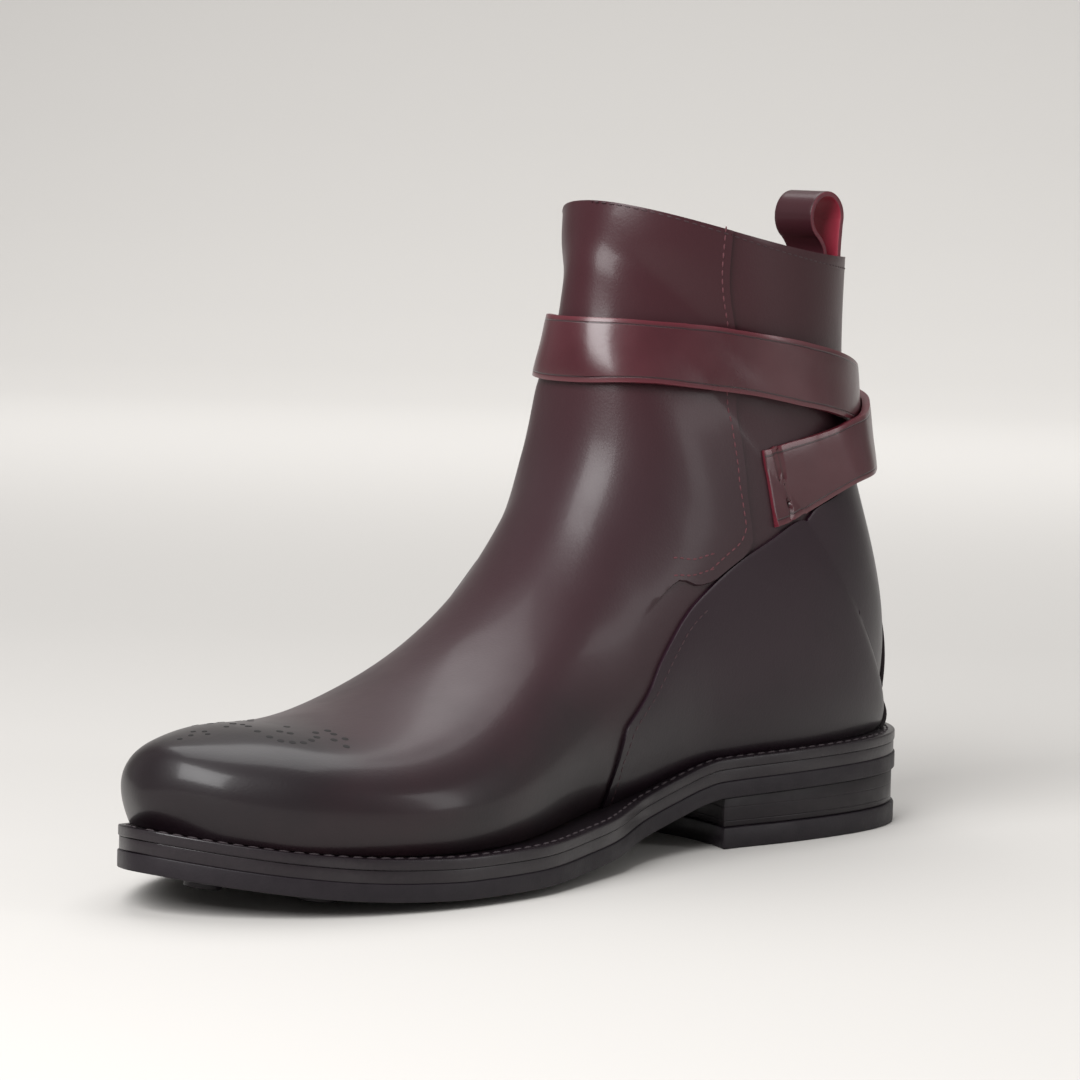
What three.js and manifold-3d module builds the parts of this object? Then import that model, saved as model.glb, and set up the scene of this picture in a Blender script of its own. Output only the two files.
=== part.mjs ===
// A right ankle boot of the jodhpur cut, standing empty on its sole: a whole-front upper with a wrapped
// flap, two straps that cross behind the heel, a brass buckle on the outer side and a studded rubber sole.
// Millimetres: heel end at X = 0, toe towards +X, big-toe side towards +Y, floor at Z = 0.
import * as THREE from 'three';
import { mergeVertices } from 'three/addons/utils/BufferGeometryUtils.js';
import Module from 'manifold-3d';

// Driving sizes of the sole
const LENGTH = 305; // heel to toe over the welt
const BALL_WIDTH = 105; // sole across the ball
const WAIST_WIDTH = 65; // sole across the arch
const SEAT_WIDTH = 69; // sole across the heel
const HEEL_RISE = 14.9; // underside of the sole at the back, above its underside at the ball
const TOE_SPRING = 9.6; // underside of the sole at the toe, above its underside at the ball
const OUTSOLE = 5;
const MIDSOLE = 3.4;
const WELT = 3;
const WELT_BAND = 13; // width of the welt strip
const TOP_PIECE = 6.5; // rubber under the heel block
const HEEL_LENGTH = 97.5; // heel back to the corners of its breast
const BREAST_HOLLOW = 8;
const GAP = 0.3; // between pieces that touch

// Driving sizes of the rubber pattern
const STUD_WIDTH = 10.5;
const STUD_HEIGHT = 2.4; // of a forefoot stud below the sole
const RING_WIDTH = 21;
const RING_DEPTH = 0.9;
const NAIL_WIDTH = 2.6;
const NAIL_DEPTH = 2.2;
const PLATE_WIDTH = 13; // crescent let into the back of the heel
const PLATE_THICKNESS = 2.4;

// Driving sizes of the upper
const LAST_WIDTH = 98.5; // upper across the ball
const ANKLE_WIDTH = 73; // upper across the waist and instep
const HEEL_WIDTH = 67.5; // upper across the heel
const COLLAR_WIDTH = 72; // upper across its top edge
const TOE_HEIGHT = 49.5; // floor to the crown of the toe
const INSTEP_HEIGHT = 92; // floor to the instep, half way along
const SHAFT_HEIGHT = 194; // floor to the top edge in front
const BACK_HEIGHT = 177; // floor to the top edge at the back
const RIM_DIP = 4.5; // the top edge sags this much at the sides
const WALL = 2.2;
const INSOLE = 3;
const FLAP_RISE = 1.6; // wrapped flap above the rest of the upper
const QUARTER = 1.2; // thickness of the quarters
const BACKSTAY = 1.3; // thickness of the strip up the back seam, and of the pull loop
const BACKSTAY_FOOT = 19; // half width of the backstay at the sole
const BACKSTAY_NECK = 8.5; // half width of the backstay from the ankle up
const LOOP_WIDTH = 15;
const LOOP_BORE = 13; // opening of the pull loop
const LOOP_RISE = 20; // top of the pull loop above the edge of the shaft
const LOOP_CLEARANCE = 2.8; // between the shaft and the inner end of the loop
const LOOP_SEWN = 8; // the loop's band runs this far down outside the shaft, and half as far again inside

// Driving sizes of the straps and the buckle
const STRAP_WIDTH = 18.5;
const STRAP = 2.4;
const STRAP_CLEARANCE = 0.8; // between a strap and what it lies on
const BUCKLE_LENGTH = 27; // along the strap
const BUCKLE_HEIGHT = 31; // across the strap
const BUCKLE_BAR = 3.6; // width of the frame's bars
const BUCKLE_DEPTH = 2.2; // thickness of the frame
const BUCKLE_CHAMFER = 6.5;
const PRONG_WIDTH = 2.4;

const SOLE_STACK = OUTSOLE + GAP + MIDSOLE + GAP + WELT;

// The sole's outline, from the heel back to the toe: place along the length, half width on the big-toe
// side, half width on the little-toe side, and the width that both are shares of.
const OUTLINE = [
  [0, 0, 0, SEAT_WIDTH],
  [0.013, 0.215, 0.215, SEAT_WIDTH],
  [0.048, 0.385, 0.385, SEAT_WIDTH],
  [0.1, 0.475, 0.478, SEAT_WIDTH],
  [0.165, 0.498, 0.5, SEAT_WIDTH],
  [0.245, 0.475, 0.505, SEAT_WIDTH],
  [0.32, 0.455, 0.55, WAIST_WIDTH],
  [0.39, 0.46, 0.595, WAIST_WIDTH],
  [0.448, 0.505, 0.66, WAIST_WIDTH],
  [0.505, 0.62, 0.73, WAIST_WIDTH],
  [0.563, 0.432, 0.49, BALL_WIDTH],
  [0.62, 0.478, 0.508, BALL_WIDTH],
  [0.672, 0.498, 0.508, BALL_WIDTH],
  [0.725, 0.497, 0.494, BALL_WIDTH],
  [0.778, 0.478, 0.462, BALL_WIDTH],
  [0.83, 0.44, 0.415, BALL_WIDTH],
  [0.878, 0.385, 0.357, BALL_WIDTH],
  [0.922, 0.31, 0.283, BALL_WIDTH],
  [0.96, 0.213, 0.194, BALL_WIDTH],
  [0.985, 0.124, 0.113, BALL_WIDTH],
  [1, 0, 0, BALL_WIDTH],
];

// The sole's underside: place along the length, height above the ball, and the rise it is a share of.
const UNDERSIDE = [
  [0, 1, HEEL_RISE],
  [0.32, 0.872, HEEL_RISE],
  [0.348, 0.785, HEEL_RISE],
  [0.385, 0.61, HEEL_RISE],
  [0.43, 0.41, HEEL_RISE],
  [0.482, 0.242, HEEL_RISE],
  [0.551, 0.1, HEEL_RISE],
  [0.616, 0.02, HEEL_RISE],
  [0.656, 0, HEEL_RISE],
  [0.735, 0, TOE_SPRING],
  [0.787, 0.0625, TOE_SPRING],
  [0.843, 0.188, TOE_SPRING],
  [0.902, 0.417, TOE_SPRING],
  [0.951, 0.677, TOE_SPRING],
  [1, 1, TOE_SPRING],
];

// The upper's sections, which fan from upright at the toe to level at the top edge. Each has a front
// point and a foot point in the plane of the last, place along the length and height as a share of the
// height after it; half widths at the widest and at the feather edge, big-toe side first, as shares of
// the width after them; then the height of the widest part as a share of the section, the fullness of
// the crown, the tuck under it, the crown's shift to the big-toe side and the bulge of the toe end.
// A foot point with no height lies on the sole.
const SECTIONS = [
  [0.986, 0.808, TOE_HEIGHT, 0.977, 0, 0, 0, 0, 0, 0, LAST_WIDTH, 0.44, 2.2, 2, 0.01, 0.028],
  [0.978, 0.885, TOE_HEIGHT, 0.973, 0, 0, 0.101, 0.091, 0.081, 0.073, LAST_WIDTH, 0.44, 2.2, 2, 0.01, 0.026],
  [0.957, 0.945, TOE_HEIGHT, 0.961, 0, 0, 0.208, 0.183, 0.178, 0.157, LAST_WIDTH, 0.43, 2.2, 2, 0.01, 0.02],
  [0.923, 0.978, TOE_HEIGHT, 0.936, 0, 0, 0.305, 0.264, 0.264, 0.228, LAST_WIDTH, 0.4, 2.2, 2, 0.01, 0.012],
  [0.879, 0.994, TOE_HEIGHT, 0.895, 0, 0, 0.396, 0.345, 0.355, 0.305, LAST_WIDTH, 0.37, 2.2, 2, 0.01, 0.005],
  [0.8184, 0.986, TOE_HEIGHT, 0.83, 0, 0, 0.472, 0.426, 0.426, 0.386, LAST_WIDTH, 0.34, 2.1, 2, 0.02, 0],
  [0.7435, 1.04, TOE_HEIGHT, 0.751, 0, 0, 0.508, 0.487, 0.467, 0.447, LAST_WIDTH, 0.31, 2, 2, 0.035, 0],
  [0.6652, 0.642, INSTEP_HEIGHT, 0.675, 0, 0, 0.492, 0.513, 0.452, 0.472, LAST_WIDTH, 0.3, 1.9, 2, 0.045, 0],
  [0.5912, 0.776, INSTEP_HEIGHT, 0.597, 0, 0, 0.582, 0.664, 0.514, 0.596, ANKLE_WIDTH, 0.31, 1.85, 2, 0.05, 0],
  [0.5273, 0.971, INSTEP_HEIGHT, 0.518, 0, 0, 0.507, 0.603, 0.404, 0.514, ANKLE_WIDTH, 0.34, 1.8, 2, 0.045, 0],
  [0.4841, 1.183, INSTEP_HEIGHT, 0.426, 0, 0, 0.479, 0.555, 0.342, 0.445, ANKLE_WIDTH, 0.37, 1.85, 2, 0.035, 0],
  [0.4588, 0.659, SHAFT_HEIGHT, 0.321, 0, 0, 0.466, 0.521, 0.342, 0.418, ANKLE_WIDTH, 0.4, 1.9, 1.9, 0.025, 0],
  [0.4537, 0.75, SHAFT_HEIGHT, 0.203, 0, 0, 0.473, 0.5, 0.39, 0.418, ANKLE_WIDTH, 0.4, 2, 1.7, 0.015, 0],
  [0.449, 0.807, SHAFT_HEIGHT, 0.098, 0, 0, 0.511, 0.526, 0.37, 0.378, HEEL_WIDTH, 0.4, 2, 1.4, 0.01, 0],
  [0.445, 0.849, SHAFT_HEIGHT, 0.034, 0, 0, 0.504, 0.511, 0.2, 0.2, HEEL_WIDTH, 0.41, 2, 1.2, 0.005, 0],
  [0.442, 0.881, SHAFT_HEIGHT, 0.018, 0.175, BACK_HEIGHT, 0.496, 0.507, 0, 0, HEEL_WIDTH, 0.42, 2, 1.1, 0.005, 0],
  [0.439, 0.908, SHAFT_HEIGHT, 0.0105, 0.282, BACK_HEIGHT, 0.496, 0.507, 0, 0, HEEL_WIDTH, 0.43, 2, 1.15, 0.005, 0],
  [0.435, 0.93, SHAFT_HEIGHT, 0.028, 0.424, BACK_HEIGHT, 0.489, 0.511, 0, 0, HEEL_WIDTH, 0.45, 2, 1.25, 0, 0],
  [0.432, 0.949, SHAFT_HEIGHT, 0.059, 0.576, BACK_HEIGHT, 0.458, 0.489, 0, 0, COLLAR_WIDTH, 0.48, 2, 1.3, 0, 0],
  [0.43, 0.967, SHAFT_HEIGHT, 0.077, 0.723, BACK_HEIGHT, 0.465, 0.497, 0, 0, COLLAR_WIDTH, 0.5, 2, 1.25, 0, 0],
  [0.428, 0.984, SHAFT_HEIGHT, 0.085, 0.859, BACK_HEIGHT, 0.475, 0.504, 0, 0, COLLAR_WIDTH, 0.5, 2, 1.2, 0, 0],
  [0.4255, 1, SHAFT_HEIGHT, 0.087, 1, BACK_HEIGHT, 0.486, 0.514, 0, 0, COLLAR_WIDTH, 0.5, 2, 1.15, 0, 0],
];
const HEEL_SECTION = 15; // the first section that closes behind the heel
const TOP_SECTION = SECTIONS.length - 1;
const DIP_FROM = 17; // the sag of the top edge grows from this section up
const CROWN_PART = 0.56; // share of the way round, from crown to feather edge, that lies above the widest

// A curve through evenly numbered rows, turned about its first row, and its last where ends is true, so
// that the ends close smoothly. signs holds 1 for a column that runs on evenly and -1 for one that crosses 0.
function fairCurve(rows, signs, ends) {
  const turned = (row) => row.map((value, c) => value * signs[c]);
  const head = rows.slice(1, 4).reverse().map(turned);
  const tail = ends ? rows.slice(-4, -1).reverse().map(turned) : [];
  const all = [...head, ...rows, ...tail];
  const count = all.length;
  const second = all.map((row) => row.map(() => 0));
  for (let c = 0; c < signs.length; c += 1) {
    const pivot = new Array(count).fill(0);
    const value = new Array(count).fill(0);
    for (let i = 1; i < count - 1; i += 1) {
      const rest = 4 - pivot[i - 1];
      pivot[i] = 1 / rest;
      value[i] = (6 * (all[i + 1][c] - 2 * all[i][c] + all[i - 1][c]) - value[i - 1]) / rest;
    }
    for (let i = count - 2; i > 0; i -= 1) second[i][c] = value[i] - pivot[i] * second[i + 1][c];
  }
  return (place) => {
    const at = place + head.length;
    const i = Math.min(Math.max(Math.floor(at), 0), count - 2);
    const b = at - i;
    const a = 1 - b;
    return signs.map((sign, c) => a * all[i][c] + b * all[i + 1][c]
      + ((a * a * a - a) * second[i][c] + (b * b * b - b) * second[i + 1][c]) / 6);
  };
}

// A smooth curve through rows of [place, value] that never overshoots between them.
function gentleCurve(rows) {
  const rise = rows.slice(1).map((row, i) => (row[1] - rows[i][1]) / (row[0] - rows[i][0]));
  const slope = rows.map((row, i) => {
    const before = rise[Math.max(i - 1, 0)];
    const after = rise[Math.min(i, rise.length - 1)];
    return before * after > 0 ? (2 * before * after) / (before + after) : 0;
  });
  slope[0] = rise[0];
  slope[rows.length - 1] = rise[rise.length - 1];
  return (place) => {
    let i = 0;
    while (i < rows.length - 2 && place > rows[i + 1][0]) i += 1;
    const width = rows[i + 1][0] - rows[i][0];
    const t = Math.min(Math.max((place - rows[i][0]) / width, 0), 1);
    const u = 1 - t;
    return rows[i][1] * u * u * (1 + 2 * t) + rows[i + 1][1] * t * t * (1 + 2 * u)
      + width * t * u * (slope[i] * u - slope[i + 1] * t);
  };
}

const smooth = (value, from, to) => THREE.MathUtils.smoothstep(value, from, to);

const underside = gentleCurve(UNDERSIDE.map(([at, share, rise]) => [at * LENGTH, STUD_HEIGHT + share * rise]));
const seat = (x) => underside(x) + SOLE_STACK + GAP;

const outlineCurve = fairCurve(
  OUTLINE.map(([at, inner, outer, width]) => [at * LENGTH, inner * width, outer * width]), [1, -1, -1], true,
);

// A point of the sole's outline, moved inwards by inset. side is 1 on the big-toe side and -1 on the other.
function outlinePoint(place, side, inset) {
  const last = OUTLINE.length - 1;
  const step = 0.02;
  const row = (t) => {
    const [x, inner, outer] = outlineCurve(THREE.MathUtils.clamp(t, -1, last + 1));
    return new THREE.Vector2(x, side * (side > 0 ? inner : outer));
  };
  const ahead = row(place + step).sub(row(place - step)).normalize();
  const inwards = new THREE.Vector2(ahead.y, -ahead.x).multiplyScalar(side);
  return row(place).addScaledVector(inwards, inset);
}

const sectionCurve = fairCurve(SECTIONS.map((row) => {
  const [frontX, frontZ, frontOf, footX, footZ, footOf, inner, outer, , , width, widest, crown, tuck, shift, bulge] = row;
  const foot = footX * LENGTH;
  return [frontX * LENGTH, frontZ * frontOf, foot, footOf ? footZ * footOf : seat(foot), inner * width,
    outer * width, widest, crown, tuck, shift * LAST_WIDTH, bulge * LAST_WIDTH];
}), [1, 1, 1, 1, -1, -1, 1, 1, 1, 1, 1], false);

const featherCurve = fairCurve(
  SECTIONS.slice(0, HEEL_SECTION + 1).map((row) => [row[8] * row[10], row[9] * row[10]]), [-1, -1], true,
);

// The outer skin of the upper at section s, with u from -1 on the little-toe feather edge, over the
// crown at 0, to 1 on the big-toe feather edge. Behind the heel both ends meet on the back seam.
function skin(s, u) {
  const [frontX, frontZ, footX, footZ, inner, outer, widest, crown, tuck, shift, bulge] = sectionCurve(s);
  const open = s < HEEL_SECTION;
  const side = u < 0 ? -1 : 1;
  const feather = open ? featherCurve(s)[side > 0 ? 0 : 1] : 0;
  const half = side > 0 ? inner : outer;
  const round = Math.abs(u);
  let height;
  let out;
  if (round < CROWN_PART) {
    const angle = (Math.PI / 2) * (1 - round / CROWN_PART);
    height = widest + (1 - widest) * Math.sin(angle) ** (2 / crown);
    out = half * Math.cos(angle) ** (2 / crown);
  } else {
    const angle = (Math.PI / 2) * ((round - CROWN_PART) / (1 - CROWN_PART));
    height = widest * (1 - Math.sin(angle));
    out = feather + (half - feather) * Math.max(Math.cos(angle), 0) ** tuck;
  }
  const low = open ? seat(footX) : footZ;
  const sag = RIM_DIP * smooth(s, DIP_FROM, TOP_SECTION) * Math.sin(Math.PI * height);
  const lean = Math.max((height - widest) / (1 - widest), 0) ** 1.5;
  return new THREE.Vector3(
    footX + (frontX - footX) * height + bulge * Math.sin(Math.PI * height),
    side * out + shift * lean,
    low + (frontZ - low) * height - sag,
  );
}

// The direction out of the skin at section s and place u.
function skinOut(s, u) {
  const step = 0.01;
  const place = Math.max(s, 0.05);
  const closed = place >= HEEL_SECTION;
  const round = closed ? u : THREE.MathUtils.clamp(u, step - 1, 1 - step);
  const wrap = (v) => (v > 1 ? v - 2 : v < -1 ? v + 2 : v);
  const along = skin(Math.min(place + step, TOP_SECTION), round).sub(skin(Math.max(place - step, 0), round));
  const across = skin(place, wrap(round + step)).sub(skin(place, wrap(round - step)));
  return across.cross(along).normalize();
}

// A point off the skin. On the feather edge it stays level, so that the edge lies on the sole.
function offSkin(s, u, offset) {
  const point = skin(s, u);
  const out = skinOut(s, s === 0 ? Math.abs(u) : u);
  const edge = Math.abs(u) > 1 - 1e-6;
  if (s === 0 || (edge && s >= HEEL_SECTION)) out.setY(0).normalize();
  if (edge && s < HEEL_SECTION) {
    out.z = 0;
    point.addScaledVector(out.normalize(), offset);
    point.z = seat(point.x);
    return point;
  }
  return point.addScaledVector(out, offset);
}

const wasm = await Module();
wasm.setup();

// A closed mesh from points and triangles, with the points that coincide merged.
function closedGeometry(points, faces) {
  const geometry = new THREE.BufferGeometry();
  geometry.setAttribute('position', new THREE.Float32BufferAttribute(points.flatMap((p) => [p.x, p.y, p.z]), 3));
  geometry.setIndex(faces.flat());
  return plainGeometry(geometry);
}

// The same geometry with positions only, shared between its faces, and without faces of no area.
function plainGeometry(geometry) {
  const plain = geometry.clone();
  plain.deleteAttribute('normal');
  plain.deleteAttribute('uv');
  const merged = mergeVertices(plain, 1e-4);
  const index = merged.getIndex().array;
  const kept = [];
  for (let i = 0; i < index.length; i += 3) {
    const [a, b, c] = [index[i], index[i + 1], index[i + 2]];
    if (a !== b && b !== c && c !== a) kept.push(a, b, c);
  }
  merged.setIndex(kept);
  return merged;
}

function solidOf(geometry) {
  const plain = plainGeometry(geometry);
  const mesh = new wasm.Mesh({
    numProp: 3,
    vertProperties: Float32Array.from(plain.getAttribute('position').array),
    triVerts: Uint32Array.from(plain.getIndex().array),
  });
  return new wasm.Manifold(mesh);
}

function geometryOf(solid) {
  const mesh = solid.getMesh();
  const geometry = new THREE.BufferGeometry();
  geometry.setAttribute('position', new THREE.BufferAttribute(Float32Array.from(mesh.vertProperties), 3));
  geometry.setIndex(Array.from(mesh.triVerts));
  return geometry;
}

// A layer of the sole between two heights above its underside, its edge inset from the outline, from
// place first to place last of the outline's rows.
const SOLE_STEPS = 44;
function soleLayer(low, high, inset, hollow = 0) {
  const last = OUTLINE.length - 1;
  const points = [];
  const ring = (place, side, level, inward) => {
    const p = outlinePoint(place, side, inward);
    points.push(new THREE.Vector3(p.x, p.y, underside(p.x) + level));
    return points.length - 1;
  };
  const places = Array.from({ length: SOLE_STEPS + 1 }, (_, i) => (last * i) / SOLE_STEPS);
  const edge = (level, inward) => places.map((place) => {
    const inner = ring(place, 1, level, inward);
    return [inner, place === 0 || place === last ? inner : ring(place, -1, level, inward)];
  });
  const outerLow = edge(low, inset);
  const outerHigh = edge(high, inset);
  const innerLow = hollow ? edge(low, inset + hollow) : null;
  const innerHigh = hollow ? edge(high, inset + hollow) : null;
  const faces = [];
  const quad = (a, b, c, d) => faces.push([a, b, c], [a, c, d]);
  for (let i = 0; i < SOLE_STEPS; i += 1) {
    const [a, b] = [i, i + 1];
    quad(outerLow[b][0], outerLow[a][0], outerHigh[a][0], outerHigh[b][0]);
    quad(outerLow[a][1], outerLow[b][1], outerHigh[b][1], outerHigh[a][1]);
    if (hollow) {
      quad(innerLow[a][0], innerLow[b][0], innerHigh[b][0], innerHigh[a][0]);
      quad(innerLow[b][1], innerLow[a][1], innerHigh[a][1], innerHigh[b][1]);
      quad(outerHigh[a][0], innerHigh[a][0], innerHigh[b][0], outerHigh[b][0]);
      quad(innerHigh[a][1], outerHigh[a][1], outerHigh[b][1], innerHigh[b][1]);
      quad(innerLow[a][0], outerLow[a][0], outerLow[b][0], innerLow[b][0]);
      quad(outerLow[a][1], innerLow[a][1], innerLow[b][1], outerLow[b][1]);
    } else {
      quad(outerHigh[a][0], outerHigh[a][1], outerHigh[b][1], outerHigh[b][0]);
      quad(outerLow[a][1], outerLow[a][0], outerLow[b][0], outerLow[b][1]);
    }
  }
  return closedGeometry(points, faces);
}

// An upright prism over a plan outline, between two heights.
function plate(outline, low, high, holes = []) {
  const shape = new THREE.Shape(outline);
  shape.holes = holes;
  const geometry = new THREE.ExtrudeGeometry(shape, { depth: high - low, bevelEnabled: false, curveSegments: 8 });
  return geometry.translate(0, 0, low);
}

function disc(x, y, low, high, width, sides = 12) {
  const geometry = new THREE.CylinderGeometry(width / 2, width / 2, high - low, sides);
  return geometry.rotateX(Math.PI / 2).translate(x, y, (low + high) / 2);
}

// The forefoot studs: place along the length and place across as shares of the sole's half width there,
// towards the big toe where positive.
const STUDS = [
  [0.93, 0.15], [0.885, -0.42],
  [0.852, 0.58], [0.785, 0.12], [0.785, -0.48],
  [0.757, 0.7], [0.68, 0.1], [0.682, -0.53],
  [0.665, 0.66], [0.577, 0.5], [0.572, -0.02], [0.566, -0.55],
];
// The heel studs and nails: places along the heel and across it, as shares of its length and half width.
const HEEL_STUDS = [[0.73, 0.5], [0.74, -0.46], [0.46, 0.02]];
const HEEL_NAILS = [
  [0.86, 0.86], [0.86, 0], [0.885, -0.84], [0.56, 0.84], [0.58, -0.84], [0.29, 0.68], [0.3, -0.7], [0.14, -0.02],
];

// The half width of the sole at x on one side, by stepping along its outline.
function halfWidth(x, side) {
  let low = 0;
  let high = OUTLINE.length - 1;
  for (let i = 0; i < 40; i += 1) {
    const middle = (low + high) / 2;
    if (outlineCurve(middle)[0] < x) low = middle;
    else high = middle;
  }
  return outlineCurve(low)[side > 0 ? 1 : 2];
}

const across = (x, share) => share * halfWidth(x, share);

// Rubber outsole with studs that stand in shallow rings. A stud follows the slope of the sole.
function outsoleGeometry() {
  let solid = solidOf(soleLayer(0, OUTSOLE, 0));
  const below = new THREE.BoxGeometry(2 * LENGTH, LENGTH, LENGTH).translate(0, 0, -LENGTH / 2);
  for (const [at, share] of STUDS) {
    const x = at * LENGTH;
    const y = across(x, share);
    const tilt = Math.atan((underside(x + 1) - underside(x - 1)) / 2);
    const place = (geometry) => solidOf(geometry.rotateY(-tilt).translate(x, y, underside(x)));
    solid = solid.subtract(place(disc(0, 0, -1, RING_DEPTH, RING_WIDTH)));
    solid = solid.add(place(disc(0, 0, -STUD_HEIGHT, RING_DEPTH + 1, STUD_WIDTH)));
  }
  solid = solid.subtract(solidOf(below));
  return geometryOf(solid);
}

const heelX = (share) => share * HEEL_LENGTH;

// The heel's plan outline, with its hollow breast, moved inwards by inset.
function heelOutline(inset) {
  const points = [];
  const reach = (OUTLINE.length - 1) * 0.5;
  const corner = HEEL_LENGTH - inset;
  for (const side of [-1, 1]) {
    const edge = [];
    for (let place = 0; place < reach; place += 0.5) {
      const p = outlinePoint(place, side, inset);
      if (p.x < corner - 2) edge.push(p);
    }
    edge.push(new THREE.Vector2(corner, side * (halfWidth(corner, side) - inset)));
    points.push(...(side < 0 ? edge : edge.slice(1).reverse()));
    if (side < 0) {
      const outer = -(halfWidth(corner, -1) - inset);
      const inner = halfWidth(corner, 1) - inset;
      for (let i = 1; i < 10; i += 1) {
        const t = i / 10;
        points.push(new THREE.Vector2(corner - BREAST_HOLLOW * 4 * t * (1 - t), outer + (inner - outer) * t));
      }
    }
  }
  return points;
}

// Heel block: its top follows the slope of the seat, which is straight over the heel.
function heelBlockGeometry() {
  const geometry = plate(heelOutline(0.9), TOP_PIECE + GAP, HEEL_RISE);
  const position = geometry.getAttribute('position');
  for (let i = 0; i < position.count; i += 1) {
    if (position.getZ(i) > HEEL_RISE - 0.01) position.setZ(i, underside(position.getX(i)) - GAP);
  }
  return geometry;
}

// The crescent plate at the back of the heel: a band inside the outline with round ends.
function crescent(grow) {
  const reach = 3.1;
  const steps = 8;
  const middle = PLATE_WIDTH / 2 + 2.6;
  const places = Array.from({ length: 2 * steps + 1 }, (_, i) => (reach * (i - steps)) / steps);
  const band = (inset) => places.map((t) => outlinePoint(Math.abs(t), t < 0 ? -1 : 1, inset));
  const half = PLATE_WIDTH / 2 + grow;
  const outer = band(middle - half);
  const inner = band(middle + half);
  const cap = (centre, from) => Array.from({ length: 5 }, (_, i) => {
    const arm = from.clone().sub(centre).rotateAround(new THREE.Vector2(), (-(i + 1) * Math.PI) / 6);
    return centre.clone().add(arm);
  });
  const ends = band(middle);
  const first = ends[0];
  const last = ends[ends.length - 1];
  return [...outer, ...cap(last, outer[outer.length - 1]), ...inner.reverse(), ...cap(first, inner[inner.length - 1])];
}

function nailsIn(test, low) {
  return HEEL_NAILS.map(([at, share]) => [heelX(at), across(heelX(at), share)])
    .filter(([x, y]) => test(x, y))
    .map(([x, y]) => solidOf(disc(x, y, low, NAIL_DEPTH, NAIL_WIDTH, 8)));
}

const inPlate = (x) => x < heelX(0.4);

function topPieceGeometry() {
  let solid = solidOf(plate(heelOutline(0), 0, TOP_PIECE));
  solid = solid.subtract(solidOf(plate(crescent(GAP), -1, PLATE_THICKNESS + GAP)));
  for (const [at, share] of HEEL_STUDS) {
    const x = heelX(at);
    const y = across(x, share);
    solid = solid.subtract(solidOf(disc(x, y, -1, 1.6 * RING_DEPTH, RING_WIDTH)));
    solid = solid.add(solidOf(disc(x, y, 0, TOP_PIECE / 2, STUD_WIDTH)));
  }
  for (const nail of nailsIn((x) => !inPlate(x), -1)) solid = solid.subtract(nail);
  return geometryOf(solid);
}

function heelPlateGeometry() {
  let solid = solidOf(plate(crescent(0), 0, PLATE_THICKNESS));
  for (const nail of nailsIn(inPlate, -1)) solid = solid.subtract(nail);
  return geometryOf(solid);
}

// The places of the grid on the upper: sections from toe to top, and places round from -1 to 1.
const ROWS = [0, 0.35, 0.8, 1.3, 2, 2.8, 3.6, 4.5, 5.5, 6.5, 7.4, 8.2, 9, 9.6, 10.1, 10.5, 10.85, 11.2, 11.7, 12.4,
  13.1, 13.7, 14.3, 14.7, 15, 15.5, 16.2, 17, 18, 19, 20, 21];
const ROUND_STEPS = 15;
const COLUMNS = Array.from({ length: 2 * ROUND_STEPS + 1 }, (_, i) => (i - ROUND_STEPS) / ROUND_STEPS);

// A closed shell between two offsets from the skin, over some rows and columns of the grid. Each offset
// is a function of the section and the place round. Where the columns reach both ends, it closes behind the heel.
function shell(rows, columns, innerOffset, outerOffset) {
  const points = [];
  const last = columns.length - 1;
  const round = columns[0] === -1 && columns[last] === 1;
  const grid = (offset) => rows.map((s) => {
    const ids = [];
    columns.forEach((u, j) => {
      if (s === 0 && u > 0) ids.push(ids[last - j]);
      else if (round && u === 1 && s >= HEEL_SECTION) ids.push(ids[0]);
      else ids.push(points.push(offSkin(s, u, offset(s, u))) - 1);
    });
    return ids;
  });
  const inner = grid(innerOffset);
  const outer = grid(outerOffset);
  const faces = [];
  const quad = (a, b, c, d) => faces.push([a, b, c], [a, c, d]);
  const top = rows.length - 1;
  for (let i = 0; i < top; i += 1) {
    for (let j = 0; j < last; j += 1) {
      quad(outer[i][j], outer[i][j + 1], outer[i + 1][j + 1], outer[i + 1][j]);
      quad(inner[i][j], inner[i + 1][j], inner[i + 1][j + 1], inner[i][j + 1]);
    }
    if (!(round && rows[i] >= HEEL_SECTION)) {
      quad(inner[i][0], outer[i][0], outer[i + 1][0], inner[i + 1][0]);
      quad(outer[i][last], inner[i][last], inner[i + 1][last], outer[i + 1][last]);
    }
  }
  for (let j = 0; j < last; j += 1) {
    quad(outer[top][j], outer[top][j + 1], inner[top][j + 1], inner[top][j]);
    if (rows[0] > 0) quad(outer[0][j + 1], outer[0][j], inner[0][j], inner[0][j + 1]);
  }
  return closedGeometry(points, faces);
}

// A prism across one side of the boot over an outline in its side view, with the floor as its base line.
function sidePrism(outline, side) {
  const shape = new THREE.Shape(outline.map(([x, z]) => new THREE.Vector2(x, z)));
  const geometry = new THREE.ExtrudeGeometry(shape, { depth: LAST_WIDTH, bevelEnabled: false });
  geometry.rotateX(Math.PI / 2);
  return solidOf(geometry.translate(0, side > 0 ? LAST_WIDTH : 0, 0));
}

// Edges in side view: place along the length, then height as a share of the height after it.
const side = (rows) => rows.map(([x, z, of]) => [x * LENGTH, z * of]);
// The stitched rear edge of the front piece on the big-toe side, from the top down to its corner and bar tack.
const FLAP_EDGE_INNER = [
  [0.338, 1.05, SHAFT_HEIGHT], [0.336, 0.935, SHAFT_HEIGHT], [0.326, 0.825, SHAFT_HEIGHT], [0.319, 0.72, SHAFT_HEIGHT],
  [0.314, 0.63, SHAFT_HEIGHT], [0.311, 0.56, SHAFT_HEIGHT], [0.307, 0.474, SHAFT_HEIGHT], [0.34, 0.448, SHAFT_HEIGHT],
  [0.376, 0.418, SHAFT_HEIGHT], [0.4, 0.425, SHAFT_HEIGHT],
];
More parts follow.
